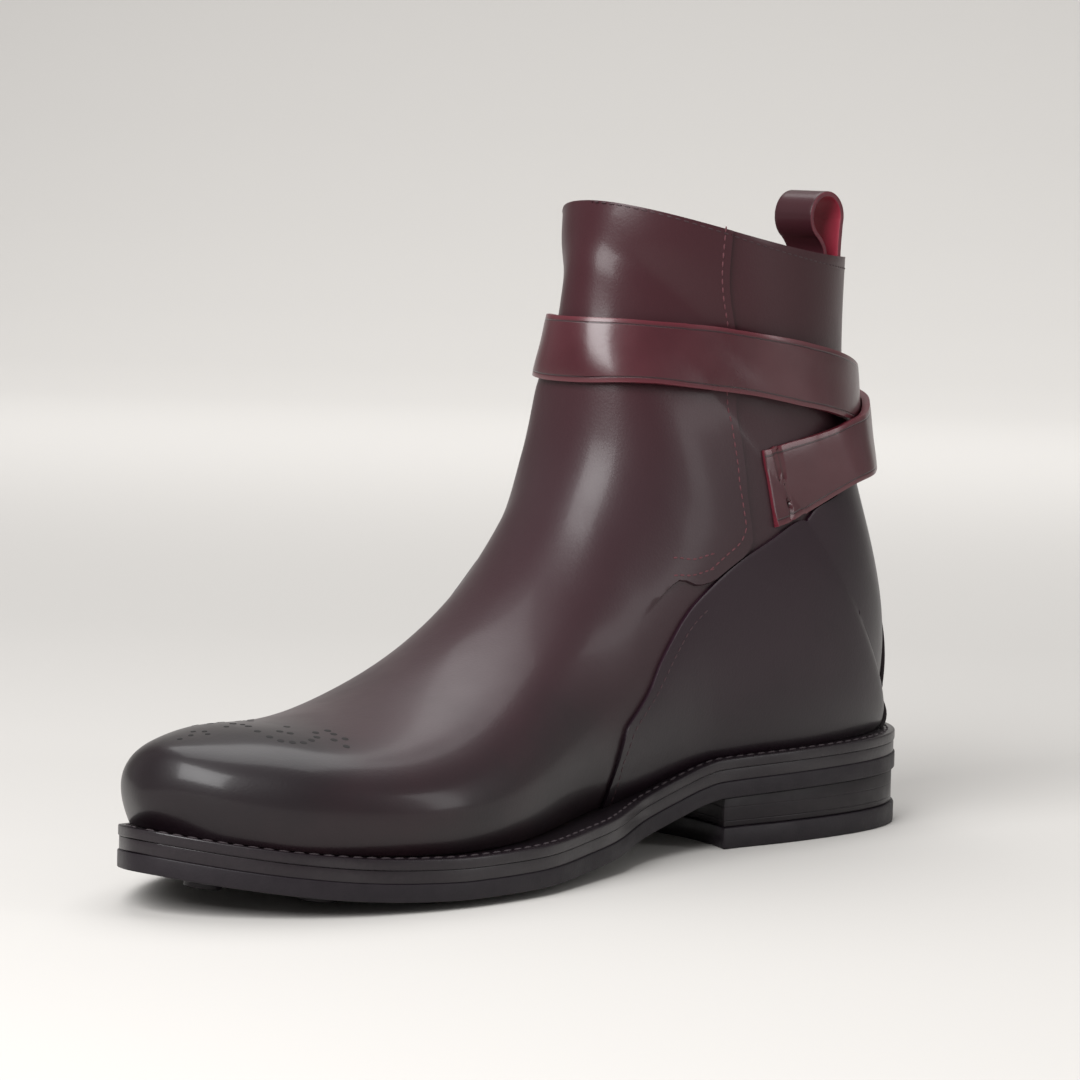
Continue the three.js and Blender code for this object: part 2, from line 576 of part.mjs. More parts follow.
// The free edge of the flap on the little-toe side, from under the strap down to its corner and up the instep.
const FLAP_EDGE_OUTER = [
  [0.318, 0.83, SHAFT_HEIGHT], [0.325, 0.75, SHAFT_HEIGHT], [0.34, 0.62, SHAFT_HEIGHT], [0.36, 0.5, SHAFT_HEIGHT],
  [0.375, 0.447, SHAFT_HEIGHT], [0.43, 0.482, SHAFT_HEIGHT], [0.47, 0.51, SHAFT_HEIGHT], [0.495, 0.535, SHAFT_HEIGHT],
];
// The front edge of the quarter, from the sole up to the flap's corner.
const QUARTER_EDGE_INNER = [
  [0.493, 0, SHAFT_HEIGHT], [0.493, 0.132, SHAFT_HEIGHT], [0.494, 0.17, SHAFT_HEIGHT], [0.487, 0.22, SHAFT_HEIGHT],
  [0.458, 0.27, SHAFT_HEIGHT], [0.443, 0.31, SHAFT_HEIGHT], [0.425, 0.346, SHAFT_HEIGHT], [0.406, 0.38, SHAFT_HEIGHT],
  [0.382, 0.41, SHAFT_HEIGHT],
];
const QUARTER_EDGE_OUTER = [
  [0.545, 0, SHAFT_HEIGHT], [0.55, 0.15, SHAFT_HEIGHT], [0.56, 0.28, SHAFT_HEIGHT], [0.548, 0.37, SHAFT_HEIGHT],
  [0.525, 0.43, SHAFT_HEIGHT], [0.5, 0.5, SHAFT_HEIGHT], [0.494, 0.523, SHAFT_HEIGHT],
];
// The top of the quarters, hidden under the straps: from the back to the flap's corner.
const QUARTER_TOP_INNER = [
  [0.3, 0.463, SHAFT_HEIGHT], [0.265, 0.486, SHAFT_HEIGHT], [0.22, 0.515, SHAFT_HEIGHT], [0.176, 0.548, SHAFT_HEIGHT],
  [0.1, 0.61, SHAFT_HEIGHT], [-0.05, 0.68, SHAFT_HEIGHT],
];
const QUARTER_TOP_OUTER = [
  [0.355, 0.475, SHAFT_HEIGHT], [0.26, 0.55, SHAFT_HEIGHT], [0.16, 0.62, SHAFT_HEIGHT], [-0.05, 0.68, SHAFT_HEIGHT],
];

// How far the front piece stands above the skin: it swells up the instep, and on the little-toe side it
// sinks back under the strap.
function flapRise(s, u) {
  const p = skin(s, u);
  const forward = smooth(p.x, 0.37 * LENGTH, 0.43 * LENGTH);
  const climb = smooth(p.z, (u > 0 ? 0.44 : 0.4) * SHAFT_HEIGHT, (u > 0 ? 0.58 : 0.52) * SHAFT_HEIGHT);
  const under = u < 0 ? 1 - smooth(p.z, 0.76 * SHAFT_HEIGHT, 0.82 * SHAFT_HEIGHT) : 1;
  return -0.5 + (FLAP_RISE + 0.5) * (1 - forward + forward * climb) * under;
}

function upperGeometry() {
  const whole = solidOf(shell(ROWS, COLUMNS, () => -WALL, () => 0));
  const rows = ROWS.filter((s) => s > 8);
  const columns = COLUMNS.filter((u) => Math.abs(u) < 0.64);
  const front = solidOf(shell(rows, columns, () => -WALL / 2, flapRise));
  const far = 0.62 * LENGTH;
  const inner = sidePrism([...side(FLAP_EDGE_INNER), [far, 0.3 * SHAFT_HEIGHT], [far, 1.05 * SHAFT_HEIGHT]], 1);
  const outer = sidePrism([[0.318 * LENGTH, 0.9 * SHAFT_HEIGHT], ...side(FLAP_EDGE_OUTER),
    [far, 0.56 * SHAFT_HEIGHT], [far, 0.9 * SHAFT_HEIGHT]], -1);
  return geometryOf(whole.add(front.intersect(inner)).add(front.intersect(outer)));
}

// Both quarters in one piece round the heel, open under the backstay's place on the back seam.
function quartersGeometry() {
  const rows = ROWS.filter((s) => s > 8);
  const whole = solidOf(shell(rows, COLUMNS, () => GAP, () => GAP + QUARTER));
  const under = (edge, from, to) => side(edge).reverse().slice(from, to).map(([x, z]) => [x - GAP, z - 3 * GAP]);
  const inner = sidePrism([[-0.05 * LENGTH, 0], ...side(QUARTER_EDGE_INNER),
    ...under(FLAP_EDGE_INNER, 1, 4), ...side(QUARTER_TOP_INNER)], 1);
  const outer = sidePrism([[-0.05 * LENGTH, 0], ...side(QUARTER_EDGE_OUTER),
    ...under(FLAP_EDGE_OUTER, 1, 4), ...side(QUARTER_TOP_OUTER)], -1);
  return geometryOf(whole.intersect(inner.add(outer)));
}

// The section whose skin has height z at place u, found by halving.
function sectionAt(u, z) {
  let low = 8;
  let high = TOP_SECTION;
  for (let i = 0; i < 40; i += 1) {
    const middle = (low + high) / 2;
    if (skin(middle, u).z < z) low = middle;
    else high = middle;
  }
  return (low + high) / 2;
}

// A flat strap that follows the skin. Each row of the path holds the place round, which may run on past
// the back seam, the height of the strap's middle as a share of the shaft's height, its width as a share
// of the strap's, and how far its inner face lies off the skin. A tip is rounded off over its last stretch.
const STRAP_STEPS = 3;
const STRAP_TIP = 0.55; // length of the rounded end, as a share of the strap's width
const wrapped = (u) => (u > 1 ? u - 2 : u < -1 ? u + 2 : u);

function strapLine(rows) {
  const path = rows.map(([u, z, width, off]) => [u, z * SHAFT_HEIGHT, width * STRAP_WIDTH, off]);
  const columns = [0, 1, 2, 3].map((c) => gentleCurve(path.map((row, i) => [i, row[c]])));
  return (t, lift = 0, aside = new THREE.Vector3()) => {
    const [u, z, width, off] = columns.map((column) => column(t * (path.length - 1)));
    const round = wrapped(u);
    const middle = offSkin(sectionAt(round, z), round, off + lift);
    const s = sectionAt(round, z + aside.z);
    const out = skinOut(s, round);
    const point = middle.add(aside);
    point.addScaledVector(out, offSkin(s, round, off + lift).sub(point).dot(out));
    return { point, out, width };
  };
}

function strapFrame(line, t) {
  const step = 0.004;
  const { point, out, width } = line(t);
  const ahead = line(Math.min(t + step, 1)).point.sub(line(Math.max(t - step, 0)).point).normalize();
  const up = out.clone().cross(ahead).normalize();
  if (up.z < 0) up.negate();
  return { point, out, ahead, up, width };
}

function strapGeometry(rows, tip) {
  const line = strapLine(rows);
  const count = (rows.length - 1) * STRAP_STEPS;
  const stops = Array.from({ length: count + 1 }, (_, i) => i / count);
  const length = stops.slice(1).reduce((sum, t, i) => sum + line(t).point.distanceTo(line(stops[i]).point), 0);
  const round = (STRAP_TIP * STRAP_WIDTH) / length;
  const ends = tip ? [1 - 0.6 * round, 1 - 0.25 * round, 1 - 0.06 * round, 1] : [1];
  const places = [...stops.filter((t) => t < (tip ? 1 - round : 1)), ...(tip ? [1 - round] : []), ...ends];
  const points = [];
  for (const t of places) {
    const { up, width } = strapFrame(line, t);
    const left = tip ? (1 - t) / round : 1;
    const half = (width / 2) * (left < 1 ? Math.sqrt(1 - (1 - Math.max(left, 0.03)) ** 2) : 1);
    for (const [lift, share] of [[0, -1], [STRAP, -1], [STRAP, 1], [0, 1]]) {
      points.push(line(t, lift, up.clone().multiplyScalar(share * half)).point);
    }
  }
  const faces = [];
  const last = places.length - 1;
  for (let i = 0; i < last; i += 1) {
    for (let k = 0; k < 4; k += 1) {
      const [a, b] = [4 * i + k, 4 * i + ((k + 1) % 4)];
      faces.push([a, b, b + 4], [a, b + 4, a + 4]);
    }
  }
  const end = 4 * last;
  faces.push([0, 2, 1], [0, 3, 2], [end, end + 1, end + 2], [end, end + 2, end + 3]);
  return outwards(closedGeometry(points, faces));
}

function signedVolume(geometry) {
  const position = geometry.getAttribute('position');
  const index = geometry.getIndex().array;
  const [a, b, c] = [new THREE.Vector3(), new THREE.Vector3(), new THREE.Vector3()];
  let volume = 0;
  for (let i = 0; i < index.length; i += 3) {
    a.fromBufferAttribute(position, index[i]);
    b.fromBufferAttribute(position, index[i + 1]);
    c.fromBufferAttribute(position, index[i + 2]);
    volume += a.dot(b.cross(c)) / 6;
  }
  return volume;
}

// The same closed geometry with its faces turned outwards.
function outwards(geometry) {
  if (signedVolume(geometry) > 0) return geometry;
  const index = Array.from(geometry.getIndex().array);
  for (let i = 0; i < index.length; i += 3) [index[i], index[i + 1]] = [index[i + 1], index[i]];
  geometry.setIndex(index);
  return geometry;
}

// The insole fills the feather edge inside the wall.
function insoleGeometry() {
  const count = 40;
  const places = Array.from({ length: count + 1 }, (_, i) => ((HEEL_SECTION - 0.02) * i) / count);
  const inset = WALL + 4 * GAP;
  const points = [];
  for (const s of places) {
    for (const end of [1, -1]) {
      const p = offSkin(Math.max(s, 0.05), end, -inset);
      points.push(p.clone(), p.clone().setZ(p.z + INSOLE));
    }
  }
  const faces = [];
  const quad = (a, b, c, d) => faces.push([a, b, c], [a, c, d]);
  const last = places.length - 1;
  for (let i = 0; i < last; i += 1) {
    const [a, b] = [4 * i, 4 * i + 4];
    quad(a + 1, a + 3, b + 3, b + 1);
    quad(a + 2, a, b, b + 2);
    quad(a, a + 1, b + 1, b);
    quad(a + 3, a + 2, b + 2, b + 3);
  }
  quad(0, 2, 3, 1);
  quad(4 * last + 2, 4 * last, 4 * last + 1, 4 * last + 3);
  return outwards(closedGeometry(points, faces));
}

// How far the quarters, the front piece and the backstay stand above the skin, and the strap over them.
const OVER_QUARTER = GAP + QUARTER + STRAP_CLEARANCE;
const OVER_FLAP = FLAP_RISE + STRAP_CLEARANCE;
const OVER_BACKSTAY = GAP + QUARTER + GAP + BACKSTAY + STRAP_CLEARANCE;
const OVER_STRAP = STRAP + STRAP_CLEARANCE;

// The long strap runs from the flap's corner on the little-toe side, low, round the back, high round the
// big-toe side and the front, and through the buckle to its tip.
const LONG_STRAP = [
  [-0.447, 0.487, 1.12, OVER_QUARTER],
  [-0.475, 0.494, 1.04, OVER_QUARTER],
  [-0.505, 0.506, 1, OVER_QUARTER],
  [-0.6, 0.532, 1, OVER_QUARTER],
  [-0.7, 0.558, 1, OVER_QUARTER],
  [-0.8, 0.586, 1, OVER_QUARTER + 0.4],
  [-0.9, 0.614, 1, OVER_BACKSTAY],
  [-1, 0.64, 1, OVER_BACKSTAY],
  [-1.1, 0.666, 1, OVER_BACKSTAY],
  [-1.2, 0.69, 1, OVER_QUARTER + 0.4],
  [-1.3, 0.711, 1, OVER_QUARTER],
  [-1.4, 0.73, 1, OVER_QUARTER],
  [-1.5, 0.746, 1, OVER_QUARTER],
  [-1.6, 0.757, 1, OVER_FLAP],
  [-1.7, 0.765, 1, OVER_FLAP],
  [-1.8, 0.77, 1, OVER_FLAP],
  [-1.9, 0.773, 1, OVER_FLAP],
  [-2, 0.774, 1, OVER_FLAP],
  [-2.1, 0.773, 1, OVER_FLAP],
  [-2.2, 0.771, 1, OVER_FLAP + 0.3],
  [-2.3, 0.767, 1, OVER_FLAP + 1.3],
  [-2.4, 0.761, 1, OVER_QUARTER + OVER_STRAP],
  [-2.5, 0.752, 1, OVER_QUARTER + OVER_STRAP],
  [-2.6, 0.74, 1, OVER_QUARTER + OVER_STRAP + 0.8],
  [-2.69, 0.724, 0.95, OVER_QUARTER + OVER_STRAP + 1.8],
];
// The buckle's strap runs from the edge of the front piece on the big-toe side, low, over the long strap
// behind the heel and high on the little-toe side to the buckle's bar.
const BUCKLE_STRAP = [
  [0.452, 0.552, 1.3, 0.5],
  [0.49, 0.568, 1.2, 0.6],
  [0.53, 0.583, 1.1, 1.4],
  [0.58, 0.597, 1.03, 3],
  [0.64, 0.608, 1, OVER_QUARTER + 2.2],
  [0.71, 0.615, 1, OVER_QUARTER + 0.4 + OVER_STRAP],
  [0.8, 0.628, 1, OVER_QUARTER + 0.5 + OVER_STRAP],
  [0.9, 0.64, 1, OVER_BACKSTAY + OVER_STRAP],
  [1, 0.652, 1, OVER_BACKSTAY + OVER_STRAP],
  [1.1, 0.665, 1, OVER_BACKSTAY + OVER_STRAP],
  [1.2, 0.68, 1, OVER_QUARTER + 0.5 + OVER_STRAP],
  [1.29, 0.697, 1, OVER_QUARTER + 1.2],
  [1.37, 0.715, 1, OVER_QUARTER],
  [1.45, 0.729, 1, OVER_QUARTER],
  [1.545, 0.75, 1, OVER_QUARTER],
];

// The buckle lies over the long strap. Its middle bar passes under it, in front of the end of the
// buckle's strap.
function buckleFrame() {
  const line = strapLine(BUCKLE_STRAP);
  const { point, out, ahead, up } = strapFrame(line, 1);
  const origin = point.clone().addScaledVector(ahead, GAP);
  return new THREE.Matrix4().makeBasis(ahead, out.clone().cross(ahead), out).setPosition(origin);
}

function chamfered(length, height, cut) {
  const [x, y] = [length / 2, height / 2];
  return [[x, y - cut], [x - cut, y], [cut - x, y], [-x, y - cut], [-x, cut - y], [cut - x, -y], [x - cut, -y], [x, cut - y]]
    .map(([px, py]) => new THREE.Vector2(px, py));
}

const FRAME_LEVEL = STRAP + 2 * STRAP_CLEARANCE + STRAP; // underside of the frame above the buckle strap's inner face

function buckleGeometry() {
  const inner = chamfered(BUCKLE_LENGTH - 2 * BUCKLE_BAR, BUCKLE_HEIGHT - 2 * BUCKLE_BAR, BUCKLE_CHAMFER - BUCKLE_BAR * 0.6);
  const ring = plate(chamfered(BUCKLE_LENGTH, BUCKLE_HEIGHT, BUCKLE_CHAMFER), FRAME_LEVEL, FRAME_LEVEL + BUCKLE_DEPTH,
    [new THREE.Path(inner)]);
  const span = BUCKLE_HEIGHT - BUCKLE_BAR;
  const bar = new THREE.BoxGeometry(BUCKLE_DEPTH, span, BUCKLE_DEPTH).translate(0, 0, BUCKLE_DEPTH / 2);
  let solid = solidOf(ring).add(solidOf(bar));
  for (const end of [-1, 1]) {
    const post = new THREE.BoxGeometry(BUCKLE_DEPTH, BUCKLE_BAR * 0.6, FRAME_LEVEL + BUCKLE_DEPTH / 2);
    solid = solid.add(solidOf(post.translate(0, (end * (span - BUCKLE_BAR * 0.6)) / 2, (FRAME_LEVEL + BUCKLE_DEPTH / 2) / 2)));
  }
  return geometryOf(solid).translate(BUCKLE_DEPTH / 2, 0, 0).applyMatrix4(buckleFrame());
}

// The prong lies on the long strap and rests against the frame's front bar.
function prongGeometry() {
  const reach = BUCKLE_LENGTH / 2 - BUCKLE_BAR - GAP;
  const profile = [[-1, 0], [reach, 0], [reach, 0.7], [reach - 2, 1.5], [2, 1.9], [-1, 1.5]].map(([x, z]) => new THREE.Vector2(x, z));
  const geometry = new THREE.ExtrudeGeometry(new THREE.Shape(profile), { depth: PRONG_WIDTH, bevelEnabled: false });
  geometry.rotateX(Math.PI / 2).translate(BUCKLE_DEPTH / 2, PRONG_WIDTH / 2, FRAME_LEVEL - GAP);
  return outwards(plainGeometry(geometry)).applyMatrix4(buckleFrame());
}

// The strip up the back seam, wide at the sole and narrow from the ankle up, with the pull loop that
// its upper end makes over the top edge.
const BACKSTAY_WIDTHS = [
  [0, 1, BACKSTAY_FOOT], [0.15, 1, BACKSTAY_FOOT], [0.25, 0.8, BACKSTAY_FOOT], [0.36, 0.6, BACKSTAY_FOOT],
  [0.5, 1.05, BACKSTAY_NECK], [0.66, 1, BACKSTAY_NECK], [1.05, 0.88, BACKSTAY_NECK],
];

function backstayGeometry() {
  const rows = ROWS.filter((s) => s > 12);
  const under = (s, u) => {
    const z = skin(s, u).z;
    return GAP + (QUARTER + GAP) * (1 - smooth(z, 0.655 * SHAFT_HEIGHT, 0.72 * SHAFT_HEIGHT));
  };
  const half = BACKSTAY_WIDTHS.map(([z, share, width]) => [share * width, z * SHAFT_HEIGHT]);
  const outline = [...half, ...half.map(([y, z]) => [-y, z]).reverse()].map(([y, z]) => new THREE.Vector2(y, z));
  const tall = new THREE.ExtrudeGeometry(new THREE.Shape(outline), { depth: 0.2 * LENGTH, bevelEnabled: false });
  const basis = new THREE.Matrix4().makeBasis(
    new THREE.Vector3(0, 1, 0), new THREE.Vector3(0, 0, 1), new THREE.Vector3(1, 0, 0),
  );
  const prism = solidOf(outwards(plainGeometry(tall.applyMatrix4(basis)))).translate([-0.05 * LENGTH, 0, 0]);
  const strip = solidOf(shell(rows, COLUMNS, under, (s, u) => under(s, u) + BACKSTAY)).intersect(prism);
  return geometryOf(strip.add(solidOf(pullLoopGeometry())));
}

// The pull loop's band in side view: up the outside of the back, round and down inside the shaft.
function pullLoopGeometry() {
  const rim = skin(TOP_SECTION, 1);
  const radius = LOOP_BORE / 2 + BACKSTAY;
  const outside = rim.x - GAP - BACKSTAY;
  const inside = rim.x + WALL + LOOP_CLEARANCE;
  const centre = new THREE.Vector2(outside + radius - 1, rim.z + LOOP_RISE - radius);
  const start = new THREE.Vector2(outside, rim.z - LOOP_SEWN);
  const end = new THREE.Vector2(inside + BACKSTAY, rim.z - 1.5 * LOOP_SEWN);
  const turn = Array.from({ length: 13 }, (_, i) => {
    const angle = Math.PI * (1.08 - (1.4 * i) / 12);
    return new THREE.Vector2(Math.cos(angle), Math.sin(angle));
  });
  const outer = [start, new THREE.Vector2(outside, rim.z), ...turn.map((v) => v.clone().multiplyScalar(radius).add(centre)),
    new THREE.Vector2(inside + BACKSTAY, rim.z + 1), end];
  const inner = [new THREE.Vector2(outside + BACKSTAY, start.y), new THREE.Vector2(outside + BACKSTAY, rim.z + 0.5),
    ...turn.map((v) => v.clone().multiplyScalar(LOOP_BORE / 2).add(centre)),
    new THREE.Vector2(inside, rim.z + 0.5), new THREE.Vector2(inside, end.y)];
  const shape = new THREE.Shape([...outer, ...inner.reverse()]);
  const geometry = new THREE.ExtrudeGeometry(shape, { depth: LOOP_WIDTH, bevelEnabled: false });
  return outwards(plainGeometry(geometry.rotateX(Math.PI / 2).translate(0, LOOP_WIDTH / 2, 0)));
}

function material(colour, roughness, metalness = 0) {
  return new THREE.MeshStandardMaterial({ color: new THREE.Color(colour), roughness, metalness });
}
const calf = material('#4a2f3a', 0.35);
const calfDark = material('#35202c', 0.35);
const strapCalf = material('#5a2530', 0.4);
const leatherEdge = material('#221a20', 0.5);
const rubber = material('#2b232a', 0.65);
const brass = material('#d6b25a', 0.25, 1);
const lining = material('#8a6a4a', 0.8);

const boot = new THREE.Group();
function add(name, geometry, finish) {
  const mesh = new THREE.Mesh(geometry, finish);
  mesh.name = name;
  boot.add(mesh);
}

add('outsole', outsoleGeometry(), rubber);
add('midsole', plainGeometry(soleLayer(OUTSOLE + GAP, OUTSOLE + GAP + MIDSOLE, 0.9)), leatherEdge);
add('welt', plainGeometry(soleLayer(OUTSOLE + MIDSOLE + 2 * GAP, SOLE_STACK, 0.3, WELT_BAND)), leatherEdge);
add('heel_block', plainGeometry(heelBlockGeometry()), leatherEdge);
add('heel_top_piece', topPieceGeometry(), rubber);
add('heel_plate', heelPlateGeometry(), rubber);
add('insole', insoleGeometry(), lining);
add('upper', upperGeometry(), calf);
add('quarters', quartersGeometry(), calfDark);
add('backstay', backstayGeometry(), calf);
add('long_strap', strapGeometry(LONG_STRAP, true), strapCalf);
add('buckle_strap', strapGeometry(BUCKLE_STRAP, false), strapCalf);
add('buckle_frame', plainGeometry(buckleGeometry()), brass);
add('buckle_prong', prongGeometry(), brass);

// The origin is in the middle of the boot's outline, on the ground.
const middle = new THREE.Box3().setFromObject(boot).getCenter(new THREE.Vector3());
for (const mesh of boot.children) mesh.geometry.translate(-middle.x, -middle.y, 0);

export default boot;
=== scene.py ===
import math
from functools import lru_cache

import bmesh
import bpy
from mathutils import Matrix, Vector
from mathutils.bvhtree import BVHTree


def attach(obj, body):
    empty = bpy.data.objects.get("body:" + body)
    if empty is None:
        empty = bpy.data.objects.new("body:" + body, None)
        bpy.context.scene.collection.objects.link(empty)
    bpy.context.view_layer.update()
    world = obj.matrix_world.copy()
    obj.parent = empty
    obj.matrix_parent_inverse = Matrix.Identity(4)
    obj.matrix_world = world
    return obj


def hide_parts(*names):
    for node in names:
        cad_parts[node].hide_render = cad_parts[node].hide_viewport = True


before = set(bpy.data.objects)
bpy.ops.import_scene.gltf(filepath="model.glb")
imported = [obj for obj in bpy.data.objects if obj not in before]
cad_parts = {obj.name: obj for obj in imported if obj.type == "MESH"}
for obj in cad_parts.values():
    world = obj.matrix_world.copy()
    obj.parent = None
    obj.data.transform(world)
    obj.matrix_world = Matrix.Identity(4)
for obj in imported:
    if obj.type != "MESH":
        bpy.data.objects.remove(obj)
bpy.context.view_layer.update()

# The studio: a pale sweep of paper that rises behind the boot, one broad soft light from the upper
# left of the picture, a weaker one from the right, and the camera where the photograph was taken.
bpy.context.scene.view_settings.view_transform = "Standard"

sweep = bmesh.new()
profile = [(4.0, 0.0), (-2.0, 0.0)]
profile += [(-2.0 - 1.5 * math.sin(t), 1.5 - 1.5 * math.cos(t)) for t in [0.13 * i for i in range(1, 13)]]
profile += [(-3.5, 6.0)]
rail = [sweep.verts.new((-4.5, y, z)) for y, z in profile]
for first, second in zip(rail, rail[1:]):
    sweep.edges.new((first, second))
drawn = bmesh.ops.extrude_edge_only(sweep, edges=sweep.edges[:])
bmesh.ops.translate(sweep, vec=(9, 0, 0), verts=[v for v in drawn["geom"] if isinstance(v, bmesh.types.BMVert)])
bmesh.ops.rotate(sweep, cent=(0, 0, 0), matrix=Matrix.Rotation(-0.869, 3, "Z"), verts=sweep.verts[:])
for face in sweep.faces:
    face.smooth = True
bmesh.ops.recalc_face_normals(sweep, faces=sweep.faces[:])
paper_mesh = bpy.data.meshes.new("paper_sweep")
sweep.to_mesh(paper_mesh)
sweep.free()
paper = bpy.data.objects.new("paper_sweep", paper_mesh)
bpy.context.collection.objects.link(paper)
paper_finish = bpy.data.materials.new("pale_paper")
paper_finish.use_nodes = True
paper_finish.node_tree.nodes["Principled BSDF"].inputs["Base Color"].default_value = (0.53, 0.515, 0.497, 1)
paper_finish.node_tree.nodes["Principled BSDF"].inputs["Roughness"].default_value = 0.9
paper_mesh.materials.append(paper_finish)

world = bpy.data.worlds.new("studio")
bpy.context.scene.world = world
world.use_nodes = True
world.node_tree.nodes["Background"].inputs["Color"].default_value = (1, 0.985, 0.965, 1)
world.node_tree.nodes["Background"].inputs["Strength"].default_value = 0.36


def soft_light(name, place, aim, width, height, power):
    lamp = bpy.data.lights.new(name, "AREA")
    lamp.shape = "RECTANGLE"
    lamp.size = width
    lamp.size_y = height
    lamp.energy = power
    lamp_object = bpy.data.objects.new(name, lamp)
    bpy.context.collection.objects.link(lamp_object)
    lamp_object.location = place
    lamp_object.rotation_euler = (Vector(aim) - Vector(place)).to_track_quat("-Z", "Y").to_euler()


YAW, PITCH, ROLL = 0.869, 0.078, 0.022
ahead = Vector((-math.sin(YAW) * math.cos(PITCH), -math.cos(YAW) * math.cos(PITCH), -math.sin(PITCH)))
picture_right = ahead.cross(Vector((0, 0, 1))).normalized()
stand = Vector((0.9394, 0.91559, 0.22205))

soft_light("key", stand * 0.75 + picture_right * -0.55 + Vector((0, 0, 0.75)), (0, 0, 0.08), 0.9, 0.9, 26)
soft_light("fill", stand * 0.2 + picture_right * 1.5 + Vector((0, 0, 0.5)), (0, 0, 0.08), 0.3, 0.9, 3.5)
soft_light("backdrop", ahead * 1.5 + Vector((0, 0, 1.3)), ahead * 2.9 + Vector((0, 0, 0.3)), 2.6, 0.5, 26)
soft_light("top", Vector((-0.5, -0.5, 1.9)), (0, 0, 0.05), 1.6, 1.6, 26)

aim = Vector((-0.004, 0, 0.094))
lens = bpy.data.cameras.new("camera")
lens.sensor_width = 36
lens.lens = 86.67 * 1.72
lens.clip_end = 50
camera = bpy.data.objects.new("camera", lens)
bpy.context.collection.objects.link(camera)
sight = (aim - stand).normalized()
level = sight.cross(Vector((0, 0, 1))).normalized()
upright = level.cross(sight)
turned_right = level * math.cos(ROLL) + upright * math.sin(ROLL)
turned_up = upright * math.cos(ROLL) - level * math.sin(ROLL)
camera.matrix_world = Matrix((
    (turned_right.x, turned_up.x, -sight.x, stand.x),
    (turned_right.y, turned_up.y, -sight.y, stand.y),
    (turned_right.z, turned_up.z, -sight.z, stand.z),
    (0, 0, 0, 1),
))
bpy.context.scene.camera = camera

# The outsole: 5 mm of dark rubber cut to the last's outline, with an arch and a little toe spring.
# Twelve studs stand in shallow rings under the forefoot, and a row of thread lies in from the edge.
LENGTH = 305
SEAT_WIDTH, WAIST_WIDTH, BALL_WIDTH = 69, 65, 105
HEEL_RISE, TOE_SPRING, STUD_HEIGHT = 14.9, 9.6, 2.4
OUTSOLE, MIDSOLE, WELT, GAP = 5, 3.4, 3, 0.3
SOLE_STACK = OUTSOLE + MIDSOLE + WELT + 2 * GAP
CENTRE = Vector((LENGTH / 2, -0.54, 0))
OUTLINE = [
    (0, 0, 0, SEAT_WIDTH),
    (0.013, 0.215, 0.215, SEAT_WIDTH),
    (0.048, 0.385, 0.385, SEAT_WIDTH),
    (0.1, 0.475, 0.478, SEAT_WIDTH),
    (0.165, 0.498, 0.5, SEAT_WIDTH),
    (0.245, 0.475, 0.505, SEAT_WIDTH),
    (0.32, 0.455, 0.55, WAIST_WIDTH),
    (0.39, 0.46, 0.595, WAIST_WIDTH),
    (0.448, 0.505, 0.66, WAIST_WIDTH),
    (0.505, 0.62, 0.73, WAIST_WIDTH),
    (0.563, 0.432, 0.49, BALL_WIDTH),
    (0.62, 0.478, 0.508, BALL_WIDTH),
    (0.672, 0.498, 0.508, BALL_WIDTH),
    (0.725, 0.497, 0.494, BALL_WIDTH),
    (0.778, 0.478, 0.462, BALL_WIDTH),
    (0.83, 0.44, 0.415, BALL_WIDTH),
    (0.878, 0.385, 0.357, BALL_WIDTH),
    (0.922, 0.31, 0.283, BALL_WIDTH),
    (0.96, 0.213, 0.194, BALL_WIDTH),
    (0.985, 0.124, 0.113, BALL_WIDTH),
    (1, 0, 0, BALL_WIDTH),
]
LAST_PLACE = len(OUTLINE) - 1
UNDERSIDE = [
    (0, HEEL_RISE),
    (0.32, 0.872 * HEEL_RISE),
    (0.348, 0.785 * HEEL_RISE),
    (0.385, 0.61 * HEEL_RISE),
    (0.43, 0.41 * HEEL_RISE),
    (0.482, 0.242 * HEEL_RISE),
    (0.551, 0.1 * HEEL_RISE),
    (0.616, 0.02 * HEEL_RISE),
    (0.656, 0),
    (0.735, 0),
    (0.787, 0.0625 * TOE_SPRING),
    (0.843, 0.188 * TOE_SPRING),
    (0.902, 0.417 * TOE_SPRING),
    (0.951, 0.677 * TOE_SPRING),
    (1, TOE_SPRING),
]


def fair_curve(rows, signs, ends):
    """A natural cubic curve through evenly numbered rows, turned about its first row."""
    turned = [[value * sign for value, sign in zip(row, signs)] for row in rows]
    points = turned[3:0:-1] + [list(row) for row in rows] + (turned[-2:-5:-1] if ends else [])
    count = len(points)
    second = [[0.0] * len(signs) for _ in points]
    for c in range(len(signs)):
        pivot, value = [0.0] * count, [0.0] * count
        for i in range(1, count - 1):
            rest = 4 - pivot[i - 1]
            pivot[i] = 1 / rest
            bend = points[i + 1][c] - 2 * points[i][c] + points[i - 1][c]
            value[i] = (6 * bend - value[i - 1]) / rest
        for i in range(count - 2, 0, -1):
            second[i][c] = value[i] - pivot[i] * second[i + 1][c]

    @lru_cache(maxsize=None)
    def at(place):
        i = min(max(math.floor(place + 3), 0), count - 2)
        b = place + 3 - i
        a = 1 - b
        return [
            a * points[i][c] + b * points[i + 1][c]
            + ((a ** 3 - a) * second[i][c] + (b ** 3 - b) * second[i + 1][c]) / 6
            for c in range(len(signs))
        ]

    return at


